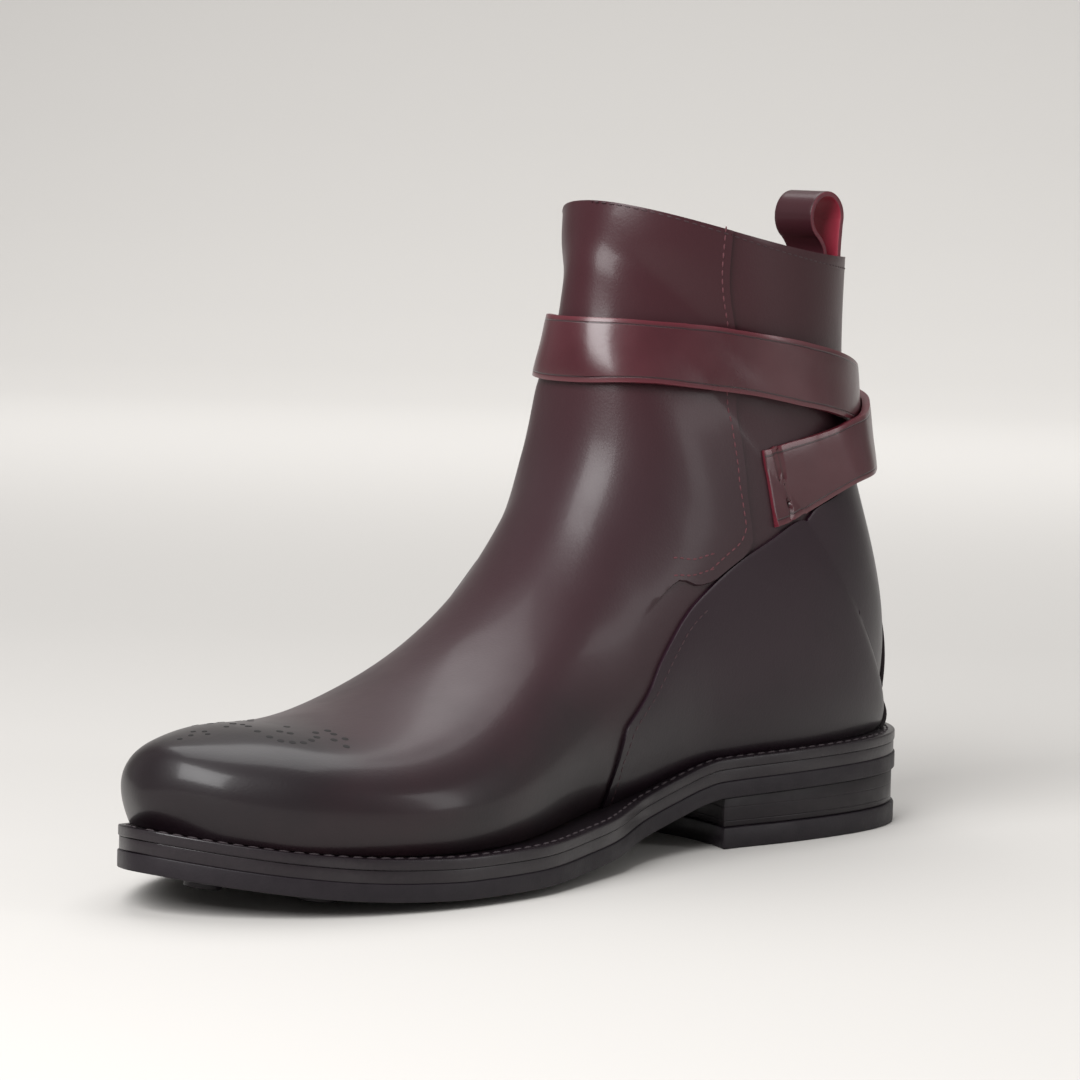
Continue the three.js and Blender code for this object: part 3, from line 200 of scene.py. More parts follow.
def gentle_curve(rows):
    """A smooth curve through rows of (place, value) that never overshoots between them."""
    rise = [(b[1] - a[1]) / (b[0] - a[0]) for a, b in zip(rows, rows[1:])]
    slope = [rise[0]]
    for before, after in zip(rise, rise[1:]):
        slope.append(2 * before * after / (before + after) if before * after > 0 else 0)
    slope.append(rise[-1])

    def at(place):
        i = 0
        while i < len(rows) - 2 and place > rows[i + 1][0]:
            i += 1
        width = rows[i + 1][0] - rows[i][0]
        t = min(max((place - rows[i][0]) / width, 0), 1)
        u = 1 - t
        return (
            rows[i][1] * u * u * (1 + 2 * t) + rows[i + 1][1] * t * t * (1 + 2 * u)
            + width * t * u * (slope[i] * u - slope[i + 1] * t)
        )

    return at


def smooth(value, low, high):
    t = min(max((value - low) / (high - low), 0), 1)
    return t * t * (3 - 2 * t)


outline_curve = fair_curve([(a * LENGTH, b * w, c * w) for a, b, c, w in OUTLINE], (1, -1, -1), True)
underside_curve = gentle_curve([(at * LENGTH, STUD_HEIGHT + rise) for at, rise in UNDERSIDE])


def outline_point(place, side, inset):
    """A point of the sole's outline moved inwards. side is 1 towards the big toe, or -1."""
    def row(at):
        x, inner, outer = outline_curve(min(max(at, -1), LAST_PLACE + 1))
        return Vector((x, side * (inner if side > 0 else outer), 0))

    along = (row(place + 0.02) - row(place - 0.02)).normalized()
    return row(place) + Vector((along.y, -along.x, 0)) * side * inset


def half_width(x, side):
    low, high = 0, LAST_PLACE
    for _ in range(40):
        middle = (low + high) / 2
        if outline_curve(middle)[0] < x:
            low = middle
        else:
            high = middle
    return outline_curve(low)[1 if side > 0 else 2]


def in_frame(point):
    """From millimetres behind the heel's end to the row's own frame in metres."""
    return (point - CENTRE) / 1000


def grid_of(columns, rows, place, uv=False):
    """A grid bent into shape: place takes two shares from 0 to 1 and gives a point in millimetres."""
    form = bmesh.new()
    layer = form.loops.layers.uv.new("UVMap") if uv else None
    bmesh.ops.create_grid(form, x_segments=columns, y_segments=rows, size=1)
    reach = max(v.co.x for v in form.verts)
    shares = {v: ((v.co.x / reach + 1) / 2, (v.co.y / reach + 1) / 2) for v in form.verts}
    if uv:
        for face in form.faces:
            for loop in face.loops:
                loop[layer].uv = shares[loop.vert]
    for v, (a, b) in shares.items():
        v.co = in_frame(place(a, b))
    return form


def finished(form, name, materials, bevel=0.0, angle=35):
    """Turns a bmesh into a piece that rides on the boot, with its corners softened."""
    mesh = bpy.data.meshes.new(name)
    form.to_mesh(mesh)
    form.free()
    mesh.polygons.foreach_set("use_smooth", [True] * len(mesh.polygons))
    for material in materials:
        mesh.materials.append(material)
    piece = bpy.data.objects.new(name, mesh)
    bpy.context.collection.objects.link(piece)
    if bevel:
        soften = piece.modifiers.new("soft_edges", "BEVEL")
        soften.width = bevel / 1000
        soften.segments = 2
        soften.limit_method = "ANGLE"
        soften.angle_limit = math.radians(angle)
        soften.harden_normals = True
    else:
        mesh.set_sharp_from_angle(angle=math.radians(angle))
    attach(piece, "root")
    return piece


def carve(piece, cutter):
    """Cuts one piece with another, which is used up."""
    knife = piece.modifiers.new("carve", "BOOLEAN")
    knife.object = cutter
    knife.solver = "EXACT"
    cut = bpy.data.meshes.new_from_object(piece.evaluated_get(bpy.context.evaluated_depsgraph_get()))
    piece.modifiers.remove(knife)
    piece.data = cut
    bpy.data.objects.remove(cutter)
    cut.set_sharp_from_angle(angle=math.radians(35))


class Wire:
    """A socket whose sums become Math nodes."""

    def __init__(self, finish, socket):
        self.finish = finish
        self.socket = socket

    def math(self, operation, left, right):
        return self.finish.add("Math", {"operation": operation}, {0: left, 1: right})

    def __add__(self, other):
        return self.math("ADD", self, other)

    __radd__ = __add__

    def __sub__(self, other):
        return self.math("SUBTRACT", self, other)

    def __rsub__(self, other):
        return self.math("SUBTRACT", other, self)

    def __mul__(self, other):
        return self.math("MULTIPLY", self, other)

    __rmul__ = __mul__

    def __truediv__(self, other):
        return self.math("DIVIDE", self, other)

    def __pow__(self, other):
        return self.math("POWER", self, other)


class Finish:
    """A material under construction."""

    def __init__(self, name, **constants):
        self.material = bpy.data.materials.new(name)
        self.material.use_nodes = True
        self.nodes = self.material.node_tree.nodes
        self.shader = self.nodes["Principled BSDF"]
        for key, value in constants.items():
            self.shader.inputs[key.replace("_", " ")].default_value = value

    def add(self, kind, settings, values, output=0):
        node = self.nodes.new("ShaderNode" + kind)
        for key, value in settings.items():
            if key == "stops":
                for stop, (at, colour) in zip(node.color_ramp.elements, value):
                    stop.position = at
                    stop.color = (*colour, 1)
            else:
                setattr(node, key, value)
        for key, value in values.items():
            self.put(node.inputs[key], value)
        return Wire(self, node.outputs[output])

    def put(self, socket, value):
        if isinstance(value, Wire):
            self.material.node_tree.links.new(value.socket, socket)
        elif isinstance(value, tuple) and len(value) == 3 and socket.type == "RGBA":
            socket.default_value = (*value, 1)
        else:
            socket.default_value = value

    def set(self, name, value):
        self.put(self.shader.inputs[name], value)

    def place(self):
        return self.add("TexCoord", {}, {}, "Object")

    def axes(self):
        split = self.nodes.new("ShaderNodeSeparateXYZ")
        self.put(split.inputs[0], self.place())
        return [Wire(self, output) for output in split.outputs]

    def ramp(self, value, low, high, start=0.0, end=1.0):
        settings = {"interpolation_type": "SMOOTHSTEP"}
        return self.add("MapRange", settings, {0: value, 1: low, 2: high, 3: start, 4: end})

    def noise(self, scale, detail=3.0, rough=0.5):
        values = {"Vector": self.place(), "Scale": scale, "Detail": detail, "Roughness": rough}
        return self.add("TexNoise", {}, values)

    def mix(self, factor, first, second):
        return self.add("Mix", {"data_type": "RGBA"}, {0: factor, 6: first, 7: second}, 2)

    def bump(self, height, distance, strength=1.0):
        values = {"Height": height, "Distance": distance, "Strength": strength}
        self.set("Normal", self.add("Bump", {}, values))


rubber = Finish("sole_rubber", Specular_IOR_Level=0.3)
speckle = rubber.noise(260, 4)
rubber.set("Base Color", rubber.mix(speckle, (0.006, 0.004, 0.0065), (0.014, 0.01, 0.0135)))
rubber.set("Roughness", rubber.ramp(rubber.noise(90), 0.3, 0.7, 0.42, 0.56))
rubber.bump(rubber.noise(1500, 2), 0.00012, 0.5)

STUDS = [
    (0.93, 0.15), (0.885, -0.42), (0.852, 0.58), (0.785, 0.12), (0.785, -0.48), (0.757, 0.7),
    (0.68, 0.1), (0.682, -0.53), (0.665, 0.66), (0.577, 0.5), (0.572, -0.02), (0.566, -0.55),
]
STUD_WIDTH, RING_WIDTH, RING_DEPTH = 10.5, 21, 0.9


def sole_layer(low, high, inset, bevel):
    """A layer of the sole between two heights above its underside."""
    def place(a, b):
        across = 2 * b - 1
        side = 1 if across > 0 else -1
        point = outline_point(a * LAST_PLACE, side, inset)
        point.y *= abs(across)
        point.z = underside_curve(point.x) + low
        return point

    layer = grid_of(240, 20, place)
    bmesh.ops.remove_doubles(layer, verts=layer.verts[:], dist=1e-6)
    grown = bmesh.ops.extrude_face_region(layer, geom=layer.faces[:])
    raised = [v for v in grown["geom"] if isinstance(v, bmesh.types.BMVert)]
    bmesh.ops.translate(layer, vec=(0, 0, (high - low) / 1000), verts=raised)
    bmesh.ops.recalc_face_normals(layer, faces=layer.faces[:])
    rim = [e for e in layer.edges if e.is_manifold and e.calc_face_angle() > 1.0]
    bmesh.ops.bevel(
        layer, geom=rim, offset=bevel / 1000, offset_type="OFFSET", segments=3, profile=0.5,
        affect="EDGES", material=-1,
    )
    return layer


def sole_frame(x, y):
    """A matrix that stands on the sole's underside at x and y, Z along its slope's normal."""
    rise = underside_curve(x + 1) - underside_curve(x - 1)
    turn = Matrix.Rotation(-math.atan(rise / 2), 4, "Y")
    return Matrix.Translation(in_frame(Vector((x, y, underside_curve(x))))) @ turn


def stud_form(form, where, width, ring, top, sink):
    """A turned stud and the low lip of its ring, spun round where's Z axis, pointing down."""
    ledge = width / 2
    line = [
        (0, top), (ledge * 0.42, top), (ledge * 0.5, top + 0.35), (ledge * 0.62, top + 0.3),
        (ledge * 0.86, top + 0.02), (ledge, top + 0.3), (ledge * 1.04, sink * 0.5), (ledge * 1.12, sink),
        (ring / 2 - 1.6, sink + 0.05), (ring / 2 - 1.2, sink * 0.45), (ring / 2 - 0.7, sink),
    ]
    points = [form.verts.new(where @ Vector((r / 1000, 0, z / 1000))) for r, z in line]
    edges = [form.edges.new(pair) for pair in zip(points, points[1:])]
    axis = (where.to_3x3() @ Vector((0, 0, 1))).normalized()
    bmesh.ops.spin(
        form, geom=points + edges, cent=where.translation, axis=axis, dvec=(0, 0, 0),
        angle=2 * math.pi, steps=40, use_merge=True,
    )


outsole = finished(sole_layer(0, OUTSOLE + GAP * 0.4, 0, 0.45), "outsole_rubber", [rubber.material])
rings = bmesh.new()
for at, share in STUDS:
    spot = sole_frame(at * LENGTH, share * half_width(at * LENGTH, share))
    bmesh.ops.create_cone(
        rings, cap_ends=True, segments=48, radius1=RING_WIDTH / 2000, radius2=RING_WIDTH / 2000 - 0.0004,
        depth=0.002 + RING_DEPTH / 1000, matrix=spot @ Matrix.Translation((0, 0, RING_DEPTH / 2000 - 0.001)),
    )
carve(outsole, finished(rings, "ring_cutter", []))
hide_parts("outsole")

studs = bmesh.new()
for at, share in STUDS:
    spot = sole_frame(at * LENGTH, share * half_width(at * LENGTH, share))
    stud_form(studs, spot, STUD_WIDTH, RING_WIDTH, -STUD_HEIGHT + 0.25, RING_DEPTH)
bmesh.ops.remove_doubles(studs, verts=studs.verts[:], dist=1e-6)
bmesh.ops.recalc_face_normals(studs, faces=studs.faces[:])
for vert in studs.verts:
    vert.co.z = max(vert.co.z, 0.00001)
finished(studs, "outsole_studs", [rubber.material])

sole_thread = Finish("sole_thread", Roughness=0.7)
sole_thread.set("Base Color", sole_thread.mix(sole_thread.noise(900), (0.02, 0.014, 0.018), (0.06, 0.045, 0.05)))


def stitch_row(form, line, pitch, length, width, start=0.0):
    """Sewn stitches along a line of (point, outward direction) in the row's frame."""
    travelled, due = 0.0, start
    for (first, out), (second, _) in zip(line, line[1:]):
        step = (second - first).length
        while step > 1e-9 and due <= travelled + step:
            centre = first.lerp(second, (due - travelled) / step)
            along = (second - first).normalized()
            side = out.cross(along).normalized()
            lift = along.cross(side)
            shape = Matrix((
                (along.x * length, side.x * width, lift.x * width * 0.7, centre.x),
                (along.y * length, side.y * width, lift.y * width * 0.7, centre.y),
                (along.z * length, side.z * width, lift.z * width * 0.7, centre.z),
                (0, 0, 0, 1),
            ))
            bmesh.ops.create_uvsphere(form, u_segments=8, v_segments=5, radius=0.5, matrix=shape)
            due += pitch
        travelled += step


def sole_line(first, last, side, inset, lift, out):
    """A line along the sole's edge, lift above its underside."""
    line = []
    for i in range(241):
        point = outline_point(first + (last - first) * i / 240, side, inset)
        point.z = underside_curve(point.x) + lift
        line.append((in_frame(point), Vector(out)))
    return line


channel = bmesh.new()
for side in (-1, 1):
    stitch_row(channel, sole_line(8.2, 19.5, side, 6.4, 0.05, (0, 0, -1)), 0.0052, 0.0036, 0.0011)
finished(channel, "outsole_stitches", [sole_thread.material])

# The midsole and the welt: two strips of dark waxed leather above the rubber. The welt stands out
# round the upper, is sewn through from above and runs all the way round the heel.
edge_leather = Finish("waxed_edge", Coat_Roughness=0.25, Specular_IOR_Level=0.35)
fibres = edge_leather.noise(700, 3)
edge_leather.set("Base Color", edge_leather.mix(fibres, (0.005, 0.003, 0.0048), (0.014, 0.0085, 0.012)))
edge_leather.set("Roughness", edge_leather.ramp(edge_leather.noise(45), 0.35, 0.65, 0.3, 0.44))
edge_leather.set("Coat Weight", edge_leather.ramp(edge_leather.noise(30), 0.4, 0.6, 0.1, 0.3))
edge_leather.bump(fibres, 0.00012, 0.5)

midsole = finished(
    sole_layer(OUTSOLE + GAP * 0.4, OUTSOLE + 1.4 * GAP + MIDSOLE, 0.45, 0.22), "midsole_leather",
    [edge_leather.material],
)
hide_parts("midsole")
welt = finished(
    sole_layer(OUTSOLE + MIDSOLE + 1.4 * GAP, SOLE_STACK, 0.15, 0.5), "welt_leather",
    [edge_leather.material],
)
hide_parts("welt")
welt_seam = bmesh.new()
for side in (-1, 1):
    line = sole_line(0.2, LAST_PLACE - 0.2, side, 2.6, SOLE_STACK, (0, 0, 1))
    stitch_row(welt_seam, line, 0.0042, 0.0031, 0.0009)
finished(welt_seam, "welt_stitches", [sole_thread.material])

# The heel: stacked lifts under the sole, cut square with a hollow breast, on a rubber top piece that
# has three studs in rings, pinholes over its nails and a crescent let in at the back.
HEEL_LENGTH, BREAST_HOLLOW, TOP_PIECE = 97.5, 8, 6.5
HEEL_STUDS = [(0.73, 0.5), (0.74, -0.46), (0.46, 0.02)]
HEEL_NAILS = [
    (0.86, 0.86), (0.86, 0), (0.885, -0.84), (0.56, 0.84), (0.58, -0.84), (0.29, 0.68), (0.3, -0.7),
    (0.14, -0.02),
]


def heel_slab(low, high, inset, bevel):
    """The heel's outline raised between two heights. high takes x, so that a top can follow the sole."""
    corner = HEEL_LENGTH - inset

    def edge(side):
        places = [0.06 * i for i in range(200)]
        line = [outline_point(place, side, inset) for place in places]
        line = [p for p in line if p.x < corner - 0.8]
        return line + [Vector((corner, side * (half_width(corner, side) - inset), 0))]

    inner, outer = edge(1), edge(-1)
    breast = []
    for i in range(1, 24):
        share = i / 24
        hollow = BREAST_HOLLOW * math.sin(math.pi * share) ** 0.8
        breast.append(Vector((corner - hollow, inner[-1].y + (outer[-1].y - inner[-1].y) * share, 0)))
    ring = inner + breast + outer[:0:-1]
    form = bmesh.new()
    bmesh.ops.create_circle(form, cap_ends=True, segments=len(ring), radius=1)
    form.verts.ensure_lookup_table()
    for vert, point in zip(form.verts, ring):
        vert.co = in_frame(Vector((point.x, point.y, low)))
    grown = bmesh.ops.extrude_face_region(form, geom=form.faces[:])
    for vert in grown["geom"]:
        if isinstance(vert, bmesh.types.BMVert):
            vert.co.z = high(vert.co.x * 1000 + CENTRE.x) / 1000
    bmesh.ops.recalc_face_normals(form, faces=form.faces[:])
    rim = [e for e in form.edges if e.calc_face_angle() > 0.7]
    bmesh.ops.bevel(
        form, geom=rim, offset=bevel / 1000, offset_type="OFFSET", segments=2, profile=0.5,
        affect="EDGES", material=-1,
    )
    return form


stack = Finish("heel_stack", Specular_IOR_Level=0.3)
x, y, z = stack.axes()
lift_line = stack.ramp(stack.add("Math", {"operation": "PINGPONG"}, {0: z, 1: 0.0021}), 0.0, 0.00025)
stack.set("Base Color", stack.mix(stack.noise(400), (0.004, 0.0024, 0.004), (0.011, 0.007, 0.0095)))
stack.set("Roughness", stack.ramp(stack.noise(60), 0.35, 0.65, 0.34, 0.5))
stack.bump(lift_line + stack.noise(600) * 0.25, 0.00012, 0.7)
heel = finished(
    heel_slab(TOP_PIECE + GAP * 0.5, lambda x: underside_curve(x) - GAP * 0.5, 0.9, 0.35),
    "heel_lifts", [stack.material],
)
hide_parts("heel_block")

top_piece = finished(heel_slab(0, lambda x: TOP_PIECE, 0, 0.6), "heel_rubber", [rubber.material])
cuts = bmesh.new()
heel_spots = [(at * HEEL_LENGTH, share * half_width(at * HEEL_LENGTH, share)) for at, share in HEEL_STUDS]
for spot_x, spot_y in heel_spots:
    bmesh.ops.create_cone(
        cuts, cap_ends=True, segments=48, radius1=RING_WIDTH / 2000, radius2=RING_WIDTH / 2000,
        depth=0.004, matrix=Matrix.Translation(in_frame(Vector((spot_x, spot_y, -0.2)))),
    )
for at, share in HEEL_NAILS:
    nail = Vector((at * HEEL_LENGTH, share * half_width(at * HEEL_LENGTH, share), 0))
    bmesh.ops.create_cone(
        cuts, cap_ends=True, segments=20, radius1=0.0013, radius2=0.0013, depth=0.0044,
        matrix=Matrix.Translation(in_frame(nail)),
    )
carve(top_piece, finished(cuts, "heel_cutter", []))
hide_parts("heel_top_piece")
heel_studs = bmesh.new()
for spot_x, spot_y in heel_spots:
    where = Matrix.Translation(in_frame(Vector((spot_x, spot_y, 0))))
    stud_form(heel_studs, where, STUD_WIDTH, RING_WIDTH, 0.05, 1.8)
bmesh.ops.remove_doubles(heel_studs, verts=heel_studs.verts[:], dist=1e-6)
bmesh.ops.recalc_face_normals(heel_studs, faces=heel_studs.faces[:])
finished(heel_studs, "heel_studs", [rubber.material])
plate_finish = Finish("crescent_rubber", Roughness=0.4)
plate_finish.set("Base Color", plate_finish.mix(plate_finish.noise(500), (0.012, 0.009, 0.012), (0.026, 0.02, 0.026)))
plate_finish.bump(plate_finish.noise(1200, 2), 0.0001, 0.4)
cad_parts["heel_plate"].data.materials.clear()
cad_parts["heel_plate"].data.materials.append(plate_finish.material)

# The insole: vegetable-tanned leather that the foot stands on, plain, a little darker where it is worn.
sock = Finish("insole_leather", Roughness=0.55)
sock.set("Base Color", sock.mix(sock.noise(35, 4), (0.16, 0.075, 0.042), (0.27, 0.14, 0.08)))
sock.bump(sock.noise(900, 3), 0.00015, 0.4)
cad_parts["insole"].data.materials.clear()
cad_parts["insole"].data.materials.append(sock.material)

# The upper: one whole front of burnished calf with painted shade low down, lasted over the toe and up the shaft,
# with a wrapped flap on the little-toe side and a sewn edge on the other, lined with plain calf.
LAST_WIDTH, ANKLE_WIDTH, HEEL_WIDTH, COLLAR_WIDTH = 98.5, 73, 67.5, 72
TOE_HEIGHT, INSTEP_HEIGHT, SHAFT_HEIGHT, BACK_HEIGHT = 49.5, 92, 194, 177
RIM_DIP, WALL, FLAP_RISE = 4.5, 2.2, 1.6
SECTIONS = [
    (0.986, 0.808, TOE_HEIGHT, 0.977, 0, 0, 0, 0, 0, 0, LAST_WIDTH, 0.44, 2.2, 2, 0.01, 0.028),
    (0.978, 0.885, TOE_HEIGHT, 0.973, 0, 0, 0.101, 0.091, 0.081, 0.073, LAST_WIDTH, 0.44, 2.2, 2, 0.01, 0.026),
    (0.957, 0.945, TOE_HEIGHT, 0.961, 0, 0, 0.208, 0.183, 0.178, 0.157, LAST_WIDTH, 0.43, 2.2, 2, 0.01, 0.02),
    (0.923, 0.978, TOE_HEIGHT, 0.936, 0, 0, 0.305, 0.264, 0.264, 0.228, LAST_WIDTH, 0.4, 2.2, 2, 0.01, 0.012),
    (0.879, 0.994, TOE_HEIGHT, 0.895, 0, 0, 0.396, 0.345, 0.355, 0.305, LAST_WIDTH, 0.37, 2.2, 2, 0.01, 0.005),
    (0.8184, 0.986, TOE_HEIGHT, 0.83, 0, 0, 0.472, 0.426, 0.426, 0.386, LAST_WIDTH, 0.34, 2.1, 2, 0.02, 0),
    (0.7435, 1.04, TOE_HEIGHT, 0.751, 0, 0, 0.508, 0.487, 0.467, 0.447, LAST_WIDTH, 0.31, 2, 2, 0.035, 0),
    (0.6652, 0.642, INSTEP_HEIGHT, 0.675, 0, 0, 0.492, 0.513, 0.452, 0.472, LAST_WIDTH, 0.3, 1.9, 2, 0.045, 0),
    (0.5912, 0.776, INSTEP_HEIGHT, 0.597, 0, 0, 0.582, 0.664, 0.514, 0.596, ANKLE_WIDTH, 0.31, 1.85, 2, 0.05, 0),
    (0.5273, 0.971, INSTEP_HEIGHT, 0.518, 0, 0, 0.507, 0.603, 0.404, 0.514, ANKLE_WIDTH, 0.34, 1.8, 2, 0.045, 0),
    (0.4841, 1.183, INSTEP_HEIGHT, 0.426, 0, 0, 0.479, 0.555, 0.342, 0.445, ANKLE_WIDTH, 0.37, 1.85, 2, 0.035, 0),
    (0.4588, 0.659, SHAFT_HEIGHT, 0.321, 0, 0, 0.466, 0.521, 0.342, 0.418, ANKLE_WIDTH, 0.4, 1.9, 1.9, 0.025, 0),
    (0.4537, 0.75, SHAFT_HEIGHT, 0.203, 0, 0, 0.473, 0.5, 0.39, 0.418, ANKLE_WIDTH, 0.4, 2, 1.7, 0.015, 0),
    (0.449, 0.807, SHAFT_HEIGHT, 0.098, 0, 0, 0.511, 0.526, 0.37, 0.378, HEEL_WIDTH, 0.4, 2, 1.4, 0.01, 0),
    (0.445, 0.849, SHAFT_HEIGHT, 0.034, 0, 0, 0.504, 0.511, 0.2, 0.2, HEEL_WIDTH, 0.41, 2, 1.2, 0.005, 0),
    (0.442, 0.881, SHAFT_HEIGHT, 0.018, 0.175, BACK_HEIGHT, 0.496, 0.507, 0, 0, HEEL_WIDTH, 0.42, 2, 1.1, 0.005, 0),
    (0.439, 0.908, SHAFT_HEIGHT, 0.0105, 0.282, BACK_HEIGHT, 0.496, 0.507, 0, 0, HEEL_WIDTH, 0.43, 2, 1.15, 0.005, 0),
    (0.435, 0.93, SHAFT_HEIGHT, 0.028, 0.424, BACK_HEIGHT, 0.489, 0.511, 0, 0, HEEL_WIDTH, 0.45, 2, 1.25, 0, 0),
    (0.432, 0.949, SHAFT_HEIGHT, 0.059, 0.576, BACK_HEIGHT, 0.458, 0.489, 0, 0, COLLAR_WIDTH, 0.48, 2, 1.3, 0, 0),
    (0.43, 0.967, SHAFT_HEIGHT, 0.077, 0.723, BACK_HEIGHT, 0.465, 0.497, 0, 0, COLLAR_WIDTH, 0.5, 2, 1.25, 0, 0),
    (0.428, 0.984, SHAFT_HEIGHT, 0.085, 0.859, BACK_HEIGHT, 0.475, 0.504, 0, 0, COLLAR_WIDTH, 0.5, 2, 1.2, 0, 0),
    (0.4255, 1, SHAFT_HEIGHT, 0.087, 1, BACK_HEIGHT, 0.486, 0.514, 0, 0, COLLAR_WIDTH, 0.5, 2, 1.15, 0, 0),
]
HEEL_SECTION = 15
TOP_SECTION = len(SECTIONS) - 1
DIP_FROM = 17
CROWN_PART = 0.56


def seat(x):
    return underside_curve(x) + SOLE_STACK + GAP


def section_row(row):
    front_x, front_z, front_of, foot_x, foot_z, foot_of, inner, outer, _, _, width, *shape = row
    widest, crown, tuck, shift, bulge = shape
    foot = foot_x * LENGTH
    return (
        front_x * LENGTH, front_z * front_of, foot, foot_z * foot_of if foot_of else seat(foot),
        inner * width, outer * width, widest, crown, tuck, shift * LAST_WIDTH, bulge * LAST_WIDTH,
    )


section_curve = fair_curve([section_row(row) for row in SECTIONS], (1, 1, 1, 1, -1, -1, 1, 1, 1, 1, 1), False)
feather_rows = [(row[8] * row[10], row[9] * row[10]) for row in SECTIONS[:HEEL_SECTION + 1]]
feather_curve = fair_curve(feather_rows, (-1, -1), True)


def skin(s, u):
    """The upper's outer skin at section s, u from -1 on the little-toe side over the crown to 1."""
    front_x, front_z, foot_x, foot_z, inner, outer, widest, crown, tuck, shift, bulge = section_curve(s)
    lasted = s < HEEL_SECTION
    side = -1 if u < 0 else 1
    feather = feather_curve(s)[0 if side > 0 else 1] if lasted else 0
    half = inner if side > 0 else outer
    round_ = min(abs(u), 1)
    if round_ < CROWN_PART:
        angle = math.pi / 2 * (1 - round_ / CROWN_PART)
        height = widest + (1 - widest) * math.sin(angle) ** (2 / crown)
        out = half * max(math.cos(angle), 0) ** (2 / crown)
    else:
        angle = math.pi / 2 * (round_ - CROWN_PART) / (1 - CROWN_PART)
        height = widest * (1 - math.sin(angle))
        out = feather + (half - feather) * max(math.cos(angle), 0) ** tuck
    low = seat(foot_x) if lasted else foot_z
    sag = RIM_DIP * smooth(s, DIP_FROM, TOP_SECTION) * math.sin(math.pi * height)
    lean = max((height - widest) / (1 - widest), 0) ** 1.5
    return Vector((
        foot_x + (front_x - foot_x) * height + bulge * math.sin(math.pi * height),
        side * out + shift * lean,
        low + (front_z - low) * height - sag,
    ))


def wrapped(u):
    return u - 2 if u > 1 else u + 2 if u < -1 else u


def skin_out(s, u):
    """The direction out of the skin."""
    step = 0.01
    place = max(s, 0.05)
    around = u if place >= HEEL_SECTION else min(max(u, step - 1), 1 - step)
    along = skin(min(place + step, TOP_SECTION), around) - skin(max(place - step, 0), around)
    across = skin(place, wrapped(around + step)) - skin(place, wrapped(around - step))
    return across.cross(along).normalized()


def off_skin(s, u, offset):
    """A point off the skin. On the feather edge it stays on the sole."""
    point = skin(s, u)
    out = skin_out(s, abs(u) if s == 0 else u)
    edge = abs(u) > 1 - 1e-6
    if s < 1e-9 or (edge and s >= HEEL_SECTION):
        out.y = 0
        out.normalize()
    if edge and s < HEEL_SECTION:
        out.z = 0
        point = point + out.normalized() * offset
        point.z = seat(point.x)
        return point
    return point + out * offset


# section and place round of the sewn edge on the big-toe side, and of the flap's free edge on the other
SEWN_EDGE = gentle_curve([
    (0, 0.3), (8, 0.3), (9.6, 0.41), (10.86, 0.445), (11.2, 0.485), (11.56, 0.497), (12.1, 0.496), (12.45, 0.486),
    (12.75, 0.455), (13.08, 0.427), (14.06, 0.389), (15.91, 0.369), (17.92, 0.391), (20.11, 0.387), (21.2, 0.385),
])
FREE_EDGE = gentle_curve([
    (0, 0.3), (8, 0.3), (9.4, 0.345), (9.86, 0.35), (10.28, 0.37), (10.82, 0.41), (11.25, 0.455), (11.5, 0.462),
    (11.9, 0.435), (13.2, 0.37), (16.28, 0.36), (18.36, 0.42), (21.2, 0.42),
])


def flap_rise(s, u):
    """How far the front piece stands above the skin: nothing at the toe, then swelling up the instep."""
    if u > 0:
        return 1.3 * smooth(s, 10, 11.4)
    height = skin(s, u).z / SHAFT_HEIGHT
    return 2 * smooth(s, 10.2, 11.2) * (1 - smooth(height, 0.7, 0.8))


def upper_place(a, b):
    s = TOP_SECTION * b
    sewn, free = SEWN_EDGE(s), FREE_EDGE(s)
    marks = (-1, -free - 0.006, -free, 0, sewn, sewn + 0.006, 1)
    shares = (0, 0.3, 0.31, 0.5, 0.69, 0.7, 1)
    i = 0
    while i < 5 and a > shares[i + 1] + 1e-9:
        i += 1
    t = (a - shares[i]) / (shares[i + 1] - shares[i])
    u = marks[i] + (marks[i + 1] - marks[i]) * t
    inside = i in (2, 3) or (i == 1 and t > 0.99) or (i == 4 and t < 0.01)
    if not inside:
        return off_skin(s, u, 0)
    blend = smooth(u, -0.24, 0.24)
    return off_skin(s, u, flap_rise(s, max(u, 0.01)) * blend + flap_rise(s, min(u, -0.01)) * (1 - blend))


def leather(name, deep, warm, glow, tops, rough=0.4, coat=0.2):
    """Burnished calf: deep at the toe and the heel, darker low down as painted shade, warm between, glowing up the
    shaft.
    """
    calf = Finish(name, Coat_Roughness=0.16, Specular_IOR_Level=0.28)
    x, y, z = calf.axes()
    cloud = calf.noise(16, 4, 0.55)
    patch = calf.noise(55, 4, 0.6)
    toe = calf.ramp(x, 0.045, 0.14)
    back = calf.ramp(x, -0.06, -0.15)
    # Painted shade: low darkens the calf towards the bottom of the upper, where less light falls; the toe and back
    # ramps are the burnish.
    low = calf.ramp(z, 0.075, 0.022)
    shade = calf.add("Math", {"operation": "MAXIMUM"}, {0: toe * 0.8, 1: low * 0.7})
    shade = calf.add("Math", {"operation": "MAXIMUM"}, {0: shade, 1: back * 0.6})
    shade = calf.ramp(shade + (cloud - 0.5) * 0.9 + (patch - 0.5) * 0.25, 0.0, 0.95)
    body = calf.mix(shade, warm, deep)
    body = calf.mix(calf.ramp(z, 0.1, 0.17, 0.0, tops), body, glow)
    calf.set("Base Color", body)
    calf.set("Roughness", calf.ramp(cloud + (patch - 0.5) * 0.4, 0.3, 0.75, rough - 0.04, rough + 0.07))
    calf.set("Coat Weight", calf.ramp(shade, 0.2, 0.9, coat * 0.6, coat * 1.4))
    pores = calf.add("TexVoronoi", {"feature": "F1"}, {"Vector": calf.place(), "Scale": 1300.0})
    grain = calf.noise(420, 5, 0.6)
    calf.bump(pores * 0.35 + grain * 0.65, 0.00009, 0.5)
    return calf.material


